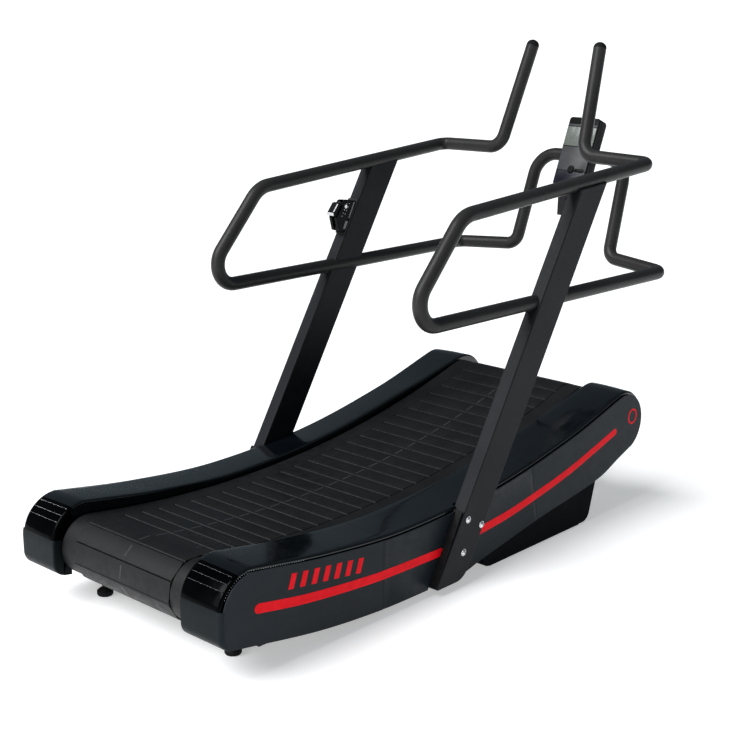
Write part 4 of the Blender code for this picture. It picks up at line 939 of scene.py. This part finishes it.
def slats_and_marks(count):
    """One slat, with its rear lip painted lighter as a highlight and a centre dash printed on it, for each
    place on the belt.
    """
    places, total = belt_places(count, SLAT_START)
    half = total / count / 2 - 0.0013
    dash = 0.0165
    profile = [(-half, -0.0100), (-half, -0.0024), (-half + 0.0011, -0.0004), (-half + 0.0022, 0.0),
               (half - 0.0022, 0.0), (half - 0.0008, -0.0007), (half, -0.0020), (half, -0.0100)]
    slats = bmesh.new()
    marks = bmesh.new()
    for point, tangent, normal in places:
        outline = [point + tangent * u + normal * (v - 0.0003) for u, v in profile]
        sides = add_prism(slats, outline, -SLAT_HALF_WIDTH, SLAT_HALF_WIDTH)
        # the rear lip's face takes the lighter paint: a painted highlight
        sides[1].material_index = 1
        outline = [point + tangent * u + normal * v
                   for u, v in ((-dash, -0.0002), (dash, -0.0002), (dash, 0.0), (-dash, 0.0))]
        add_prism(marks, outline, -0.0022, 0.0022)
    obj = piece("belt_slats", slats, SLAT, stands_for=["slat_belt"], slot="belt_rubber")
    obj.data.materials.append(HIGHLIGHT_LIP)
    piece("belt_centre_marks", marks, MARK, "belt_rubber")


def belt():
    _, total = belt_places(1)
    count = round(total / SLAT_PITCH)
    slats_and_marks(count)
    edge = 0.002
    bm = bmesh.new()
    fine, _ = belt_places(count * 6)
    for y_low, y_high, drop, thick in (
        (-BELT_HALF_WIDTH, -SLAT_HALF_WIDTH, 0.0008, 0.0145),
        (SLAT_HALF_WIDTH, BELT_HALF_WIDTH, 0.0008, 0.0145),
        (-SLAT_HALF_WIDTH, SLAT_HALF_WIDTH, 0.0085, 0.0060),
    ):
        rings = []
        for point, tangent, normal in fine:
            outer = point - normal * drop
            inner = point - normal * (drop + thick)
            section = [(y_low, inner), (y_low, outer - normal * edge), (y_low + edge, outer),
                       (y_high - edge, outer), (y_high, outer - normal * edge), (y_high, inner)]
            rings.append([bm.verts.new((p.x, y, p.y)) for y, p in section])
        join_rings(bm, rings + rings[:1], capped=False)
    piece("belt_bands", bm, SLAT, "belt_rubber")


# ---- frame, uprights, rails
def post_top(depth_x, drop):
    slope = (UPPER_FRONT[2] - UPPER_REAR[2]) / (UPPER_FRONT[0] - UPPER_REAR[0])
    level = UPPER_REAR[2] + slope * (POST_FOOT_X + depth_x - UPPER_REAR[0]) - drop
    z = level / (1 - slope * POST_LEAN)
    return (post_rear_x(z) + depth_x, z)


def uprights(hand, side):
    low = POST_LOW_Z
    turn_z = low + POST_CORNER
    centre = (post_rear_x(turn_z) + POST_DEPTH_X - POST_CORNER * math.sqrt(1 + POST_LEAN**2), turn_z)
    foot = [(post_rear_x(low + 0.006), low + 0.006), (post_rear_x(low) + 0.012, low)]
    foot += arc(centre, POST_CORNER, math.radians(-90), -math.atan(POST_LEAN), 16)
    outline = foot + [post_top(POST_DEPTH_X, 0.010), post_top(0.0, 0.010)]
    prism_piece(f"{hand}_upright_tube", outline, POST_IN, POST_OUT, POST, "black_steel", side=side,
                stands_for=[f"{hand}_upright"], bevel=0.0035, segments=4, angle=50)
    heads = bmesh.new()
    washers = bmesh.new()
    for at in BOLTS:
        r = 0.0080
        base = POST_OUT + 0.0012
        turned(heads, [(0.0, base), (r, base)] + [
            (r * math.cos(a), base + 0.0046 * math.sin(a)) for a in spread(0.15, 1.15, 6)
        ] + [(0.0030, base + 0.0046), (0.0028, base + 0.0020), (0.0, base + 0.0020)], at, 28)
        turned(washers, [(radius, POST_OUT + out) for radius, out in (
            (0.0, 0.0001), (0.0094, 0.0001), (0.0096, 0.0008), (0.0090, 0.0012), (0.0, 0.0012))], at, 28)
    piece(f"{hand}_bolt_heads", heads, ZINC, "bare_steel", side=side,
          stands_for=[f"{hand}_upright_bolts"])
    piece(f"{hand}_bolt_washers", washers, ZINC, "bare_steel", side=side)


def bridge_point(z):
    a = Vector(LOWER_INNER)
    b = Vector(BRIDGE_TOP)
    return tuple(a + (b - a) * (z - a.z) / (b.z - a.z))


def handrails(hand, side):
    corners = [HORN_TIP, HORN_BASE, UPPER_FRONT, UPPER_REAR, LOWER_REAR, LOWER_FRONT, LOWER_INNER,
               bridge_point(BRIDGE_JOINT_Z)]
    path = rounded_path(corners, [0.045, 0.030, 0.090, 0.060, 0.030, 0.036], 14)
    rail_tube(f"{hand}_rail_tube", path, [f"{hand}_handrail"], side)
    direction = (Vector(HORN_TIP) - Vector(HORN_BASE)).normalized()
    bm = bmesh.new()
    r = RAIL_RADIUS
    turned(bm, [(0.0, 0.0), (r, 0.0), (r, 0.002)] + [
        (r * math.cos(a), 0.002 + (r * 0.9) * math.sin(a)) for a in spread(0.1, math.pi / 2 - 0.01, 10)
    ] + [(0.0, 0.002 + r * 0.9)], (0.0, 0.0), 32)
    bmesh.ops.rotate(bm, verts=bm.verts, matrix=direction.to_track_quat("Y", "Z").to_matrix())
    bmesh.ops.translate(bm, verts=bm.verts, vec=Vector(HORN_TIP) + direction * 0.0002)
    piece(f"{hand}_horn_plug", bm, RUBBER, "rubber", side=side,
          stands_for=[f"{hand}_horn_cap"])


def bridge():
    joint = Vector(bridge_point(BRIDGE_JOINT_Z))
    joint += (Vector(BRIDGE_TOP) - joint).normalized() * 0.0003
    corners = [tuple(joint), BRIDGE_TOP]
    corners += [(x, -y, z) for x, y, z in reversed(corners)]
    path = rounded_path(corners, [0.072, 0.072], 18)
    rail_tube("bridge_tube", path, ["console_bridge"])


def base_legs(hand, side):
    """Thin moulded shell: an outer face with a rim that turns in round its whole outline."""
    wall = 0.004
    heel = arc((0.000, BASE_Z + 0.032), 0.032, math.radians(215), math.radians(270), 10)
    toe = arc((0.440, BASE_Z + 0.034), 0.034, math.radians(-90), math.radians(-16), 12)
    top = [(x, belt_z(x) - BEAM_DROP - BEAM_DEEP - 0.0006) for x in spread(0.5215, -0.020, 24)]
    rim = heel + toe + top
    bm = bmesh.new()
    add_prism(bm, rim, BASE_OUT - wall, BASE_OUT)
    for a, b in zip(rim, rim[1:] + rim[:1]):
        a = Vector(a)
        b = Vector(b)
        across = (b - a).normalized()
        inward = Vector((-across.y, across.x)) * wall
        add_prism(bm, (a, b, b + inward, a + inward), BASE_IN, BASE_OUT - wall)
    piece(f"{hand}_base_shell", bm, BASE, "plastic_black", side=side,
          stands_for=[f"{hand}_base_leg"])


# ---- console
def console_point(across, up, out):
    foot = Vector(CONSOLE_FOOT)
    rise = Vector((math.sin(CONSOLE_LEAN), 0.0, math.cos(CONSOLE_LEAN)))
    face = Vector((-math.cos(CONSOLE_LEAN), 0.0, math.sin(CONSOLE_LEAN)))
    return foot + Vector((0.0, across, 0.0)) + rise * up + face * out


def rounded_rectangle(low_y, high_y, low, high, radius, steps):
    points = []
    for y, z, start in ((high_y - radius, low + radius, -90), (high_y - radius, high - radius, 0),
                        (low_y + radius, high - radius, 90), (low_y + radius, low + radius, 180)):
        points += arc((y, z), radius, math.radians(start), math.radians(start + 90), steps + 1)
    return points


def slab(bm, outline, layers):
    """Lofts an (across, up) outline through layers of (out, inset)."""
    low = Vector([min(p[k] for p in outline) for k in (0, 1)])
    high = Vector([max(p[k] for p in outline) for k in (0, 1)])
    centre = (low + high) / 2
    half = (high - low) / 2
    rings = []
    for out, inset in layers:
        ring = []
        for point in outline:
            flat = Vector(point) - centre
            flat = Vector((flat.x * (1 - inset / half.x), flat.y * (1 - inset / half.y))) + centre
            ring.append(bm.verts.new(console_point(flat.x, flat.y, out)))
        rings.append(ring)
    join_rings(bm, rings)


def console_plate(name, paint, low_y, high_y, low, high, radius,
                  rise=0.0018, slot="face_grey", stands_for=()):
    """A thin softly edged plate laid into the console's face."""
    bm = bmesh.new()
    slab(bm, rounded_rectangle(low_y, high_y, low, high, radius, 6),
         [(-0.0026, 0.0), (rise - 0.0030, 0.0), (rise - 0.0026, 0.0006)])
    return piece(name, bm, paint, slot=slot, stands_for=stands_for)


def cut_button_hole(obj):
    """Clear hole for the button, which travels 1.5 mm."""
    rim = arc((0.0, BUTTON_UP), BUTTON_HOLE, 0.0, 2 * math.pi, 48)[:-1]
    bm = bmesh.new()
    slab(bm, rim, [(-0.03, 0.0), (0.02, 0.0)])
    cut_away(obj, bm, f"cut_button_{obj.name}")


def console_face():
    half = CONSOLE_HALF_WIDTH
    inner = half - 0.003
    rim = rounded_rectangle(-half, half, 0.0, CONSOLE_TALL, 0.010, 8)
    bm = bmesh.new()
    slab(bm, rim, [(-0.0025, 0.003), (-0.0032, 0.0008), (-0.0050, 0.0), (-CONSOLE_FACE, 0.0)])
    bezel = piece("console_bezel", bm, SHINY, stands_for=["console_face"], slot="face_grey", bevel=0.0004)
    cut_button_hole(bezel)
    cut_button_hole(console_plate("console_grey_plate", FACE, -inner, inner, 0.0495, 0.1255, 0.003))
    cut_button_hole(console_plate("console_blue_plate", BLUE, -inner, inner, 0.004, 0.0480, 0.006))
    console_plate("console_screen", DISPLAY, -0.030, inner, 0.1285, 0.190, 0.003, slot="screen_grey",
                  stands_for=["console_display"])
    console_plate("console_side_screen", DISPLAY, -inner, -0.0325, 0.1285, 0.190, 0.003, slot="screen_grey")
    console_plate("console_top_strip", FACE, -inner, inner, 0.1920, 0.1985, 0.002)
    console_plate("console_slot", SHINY, -0.047, -0.014, 0.0450, 0.0560, 0.003, 0.0030)


def console_back():
    rim = rounded_rectangle(-CONSOLE_HALF_WIDTH, CONSOLE_HALF_WIDTH, 0.0, CONSOLE_TALL, 0.010, 8)
    back = -CONSOLE_DEPTH
    bm = bmesh.new()
    slab(bm, rim, [(-CONSOLE_FACE - 0.0010, 0.0), (back + 0.008, 0.0), (back + 0.003, 0.0016),
                   (back, 0.006)])
    shell = piece("console_shell", bm, SHINY, stands_for=["console_housing"], slot="plastic_black")
    clear = RAIL_RADIUS + 0.0006
    bm = bmesh.new()
    turned(bm, [(0.0, -0.2), (clear, -0.2), (clear, 0.2), (0.0, 0.2)],
           (BRIDGE_TOP[0] + SHIFT, BRIDGE_TOP[2]), 48)
    cut_away(shell, bm, "cut_bar")
    bm = bmesh.new()
    sides = 20
    for z in (0.838, 0.858, 0.878):
        turned(bm, [(0.0, -0.005), (0.0042, -0.005), (0.0042, -0.0015), (0.0030, -0.0004), (0.0, 0.0)],
               (0.0, 0.0), sides)
        fresh = bm.verts[-(3 * sides + 2):]
        bmesh.ops.rotate(bm, verts=fresh, matrix=Matrix.Rotation(math.radians(90), 3, "Z"))
        bmesh.ops.translate(bm, verts=fresh, vec=(0.8165, 0.0, z))
    piece("neck_screws", bm, PLASTIC, "plastic_black")


# ---- lever
def lever_local(points):
    """(out, up) pairs from the upright's rear edge at the lever's height, as (x, z)."""
    lean = math.atan(POST_LEAN)
    foot = Vector((post_rear_x(LEVER_Z), LEVER_Z))
    out = Vector((-math.cos(lean), math.sin(lean)))
    up = Vector((math.sin(lean), math.cos(lean)))
    return [foot + out * a + up * b for a, b in points]


def lever_housing():
    """Glossy two-cheek housing on the upright, its plate, row dots and silver bar."""
    near, far = LEVER_Y
    slot_low, slot_high = near + LEVER_CHEEK, far - LEVER_CHEEK
    body = [(0.0052, -0.0585), (0.026, -0.0640), (0.055, -0.0360), (0.056, -0.0300), (0.049, 0.0220),
            (0.044, 0.0275), (0.0052, 0.0445)]
    core = [(0.0052, -0.0560), (0.025, -0.0610), (0.029, -0.0570), (0.029, 0.0320), (0.0052, 0.0420)]
    back = [(0.0005, -0.064), (0.0050, -0.064), (0.0050, 0.050), (0.0005, 0.050)]
    bm = bmesh.new()
    for outline, low, high in ((body, near, slot_low), (body, slot_high, far), (core, slot_low, slot_high)):
        add_prism(bm, lever_local(outline), low, high)
    piece("lever_cheeks", bm, SHINY, "gloss_black", stands_for=["lever_housing"], bevel=0.0015, segments=3)
    prism_piece("lever_plate", lever_local(back), POST_IN + 0.001, POST_OUT - 0.001, PLASTIC, "gloss_black",
                bevel=0.0008)
    low, high = near - 0.0004, near - 0.0001
    bm = bmesh.new()
    for column, rows in LEVER_DOTS:
        for at in lever_local([(column, up) for up in rows]):
            turned(bm, [(0.0, low), (0.0013, low), (0.0013, high), (0.0, high)], at, 16)
    piece("lever_dots", bm, LEVER, "alloy")
    bm = bmesh.new()
    for outline in LEVER_TRIM:
        add_prism(bm, lever_local(outline), near - 0.0012, near - 0.0001)
    piece("lever_trim", bm, TRIM, "alloy", bevel=0.0003)


def lever():
    """The lever between the cheeks: its arm, its knob and silver strips on the knob's rear faces that are
    painted highlights.
    """
    arm = [(0.0335, 0.004), (0.046, 0.002), (0.054, -0.022), (0.066, -0.024), (0.069, -0.015),
           (0.062, -0.008), (0.0585, 0.012), (0.052, 0.0175), (0.037, 0.0165), (0.0325, 0.012)]
    knob = [(0.0576, -0.031), (0.066, -0.035), (0.0715, -0.026), (0.0665, 0.007), (0.0576, 0.013)]
    prism_piece("lever_arm", lever_local(arm), 0.3762, 0.3848, TRIM, "alloy", body="lever",
                stands_for=["resistance_lever"], bevel=0.0012, segments=3)
    prism_piece("lever_knob", lever_local(knob), 0.3660, 0.3950, SHINY, "rubber", body="lever",
                bevel=0.0015, segments=3)
    bm = bmesh.new()
    # silver strips on the knob's rear faces: painted highlights
    for start, end, near, far in ((knob[1], knob[2], 0.3690, 0.3920), (knob[2], knob[3], 0.3680, 0.3725)):
        low = Vector(start).lerp(Vector(end), 0.08)
        high = Vector(start).lerp(Vector(end), 0.92)
        along = (high - low).normalized()
        out = Vector((along.y, -along.x))
        corners = [low - out * 0.001, high - out * 0.001, high + out * 0.0003, low + out * 0.0003]
        add_prism(bm, lever_local(corners), near, far)
    piece("lever_knob_highlight", bm, LEVER, body="lever", slot="alloy")


# ---- kept CAD nodes
def paint_nodes():
    """Gives each CAD node that stays in view its finished material."""
    by_slot = {
        "gloss_black": GLOSS, "panel_grey": PANEL, "black_steel": POST, "rail_black": RAIL,
        "bare_steel": ZINC, "alloy": ALLOY, "rubber": RUBBER, "belt_rubber": SLAT,
        "plastic_black": PLASTIC, "face_grey": FACE, "screen_grey": DISPLAY,
    }
    slots = {s["node"]: s["material_slot"] for s in frame["record"]["subparts"]}
    for name, obj in frame["nodes"].items():
        obj.data.materials.clear()
        obj.data.materials.append(by_slot[slots[name]])


# ---- stage
CAMERA_PLACE = (-2.8493, -2.563, 1.528)
CAMERA_YAW = 0.82973
CAMERA_PITCH = 0.26931
CAMERA_ROLL = 0.00384
CAMERA_LENS = 68.648


def camera():
    forward = Vector((
        math.sin(CAMERA_YAW) * math.cos(CAMERA_PITCH), math.cos(CAMERA_YAW) * math.cos(CAMERA_PITCH),
        -math.sin(CAMERA_PITCH),
    ))
    right = Vector((math.cos(CAMERA_YAW), -math.sin(CAMERA_YAW), 0.0))
    up = right.cross(forward)
    turned_right = right * math.cos(CAMERA_ROLL) + up * math.sin(CAMERA_ROLL)
    turned_up = up * math.cos(CAMERA_ROLL) - right * math.sin(CAMERA_ROLL)
    data = bpy.data.cameras.new("camera")
    data.lens = CAMERA_LENS
    data.sensor_width = 36.0
    data.clip_end = 1500.0
    obj = placed("camera", data)
    rotation = Matrix((turned_right, turned_up, -forward)).transposed()
    obj.matrix_world = Matrix.Translation(CAMERA_PLACE) @ rotation.to_4x4()
    bpy.context.scene.camera = obj


def lamp(name, kind, place, direction, power):
    """A light at a place, facing along a direction; returns its settings."""
    data = bpy.data.lights.new(name, kind)
    data.energy = power
    obj = placed(name, data)
    obj.location = place
    obj.rotation_euler = Vector(direction).to_track_quat("-Z", "Y").to_euler()
    return data


def stage():
    bm = bmesh.new()
    bmesh.ops.create_grid(bm, x_segments=8, y_segments=8, size=500.0)
    mesh = bpy.data.meshes.new("floor")
    bm.to_mesh(mesh)
    bm.free()
    mesh.materials.append(floor_paint())
    floor = placed("floor", mesh)
    floor.location = (0, 0, -0.0005)
    world = bpy.data.worlds.new("studio")
    bpy.context.scene.world = world
    world.use_nodes = True
    back = world.node_tree.nodes["Background"]
    back.inputs["Color"].default_value = (0.70, 0.88, 1.0, 1)
    back.inputs["Strength"].default_value = 0.14
    key = lamp("key", "SUN", (0, 0, 0), (0.80, -0.32, -1.0), 4.2)
    key.angle = math.radians(44)
    side_box = lamp("side_box", "AREA", (-3.2, 0.6, 1.5), (3.2, -0.6, -1.0), 28)
    side_box.shape = "RECTANGLE"
    side_box.size = 1.6
    side_box.size_y = 2.2


def build():
    for hand, side in SIDES.items():
        for make in (top_covers, side_panels, upright_channels, cap_glint_beads, red_marks, uprights, handrails,
                     base_legs):
            make(hand, side)
    bridge()
    belt()
    console_face()
    console_back()
    lever_housing()
    lever()
    paint_nodes()
    camera()
    stage()


build()
bpy.context.scene.view_settings.view_transform = "Standard"
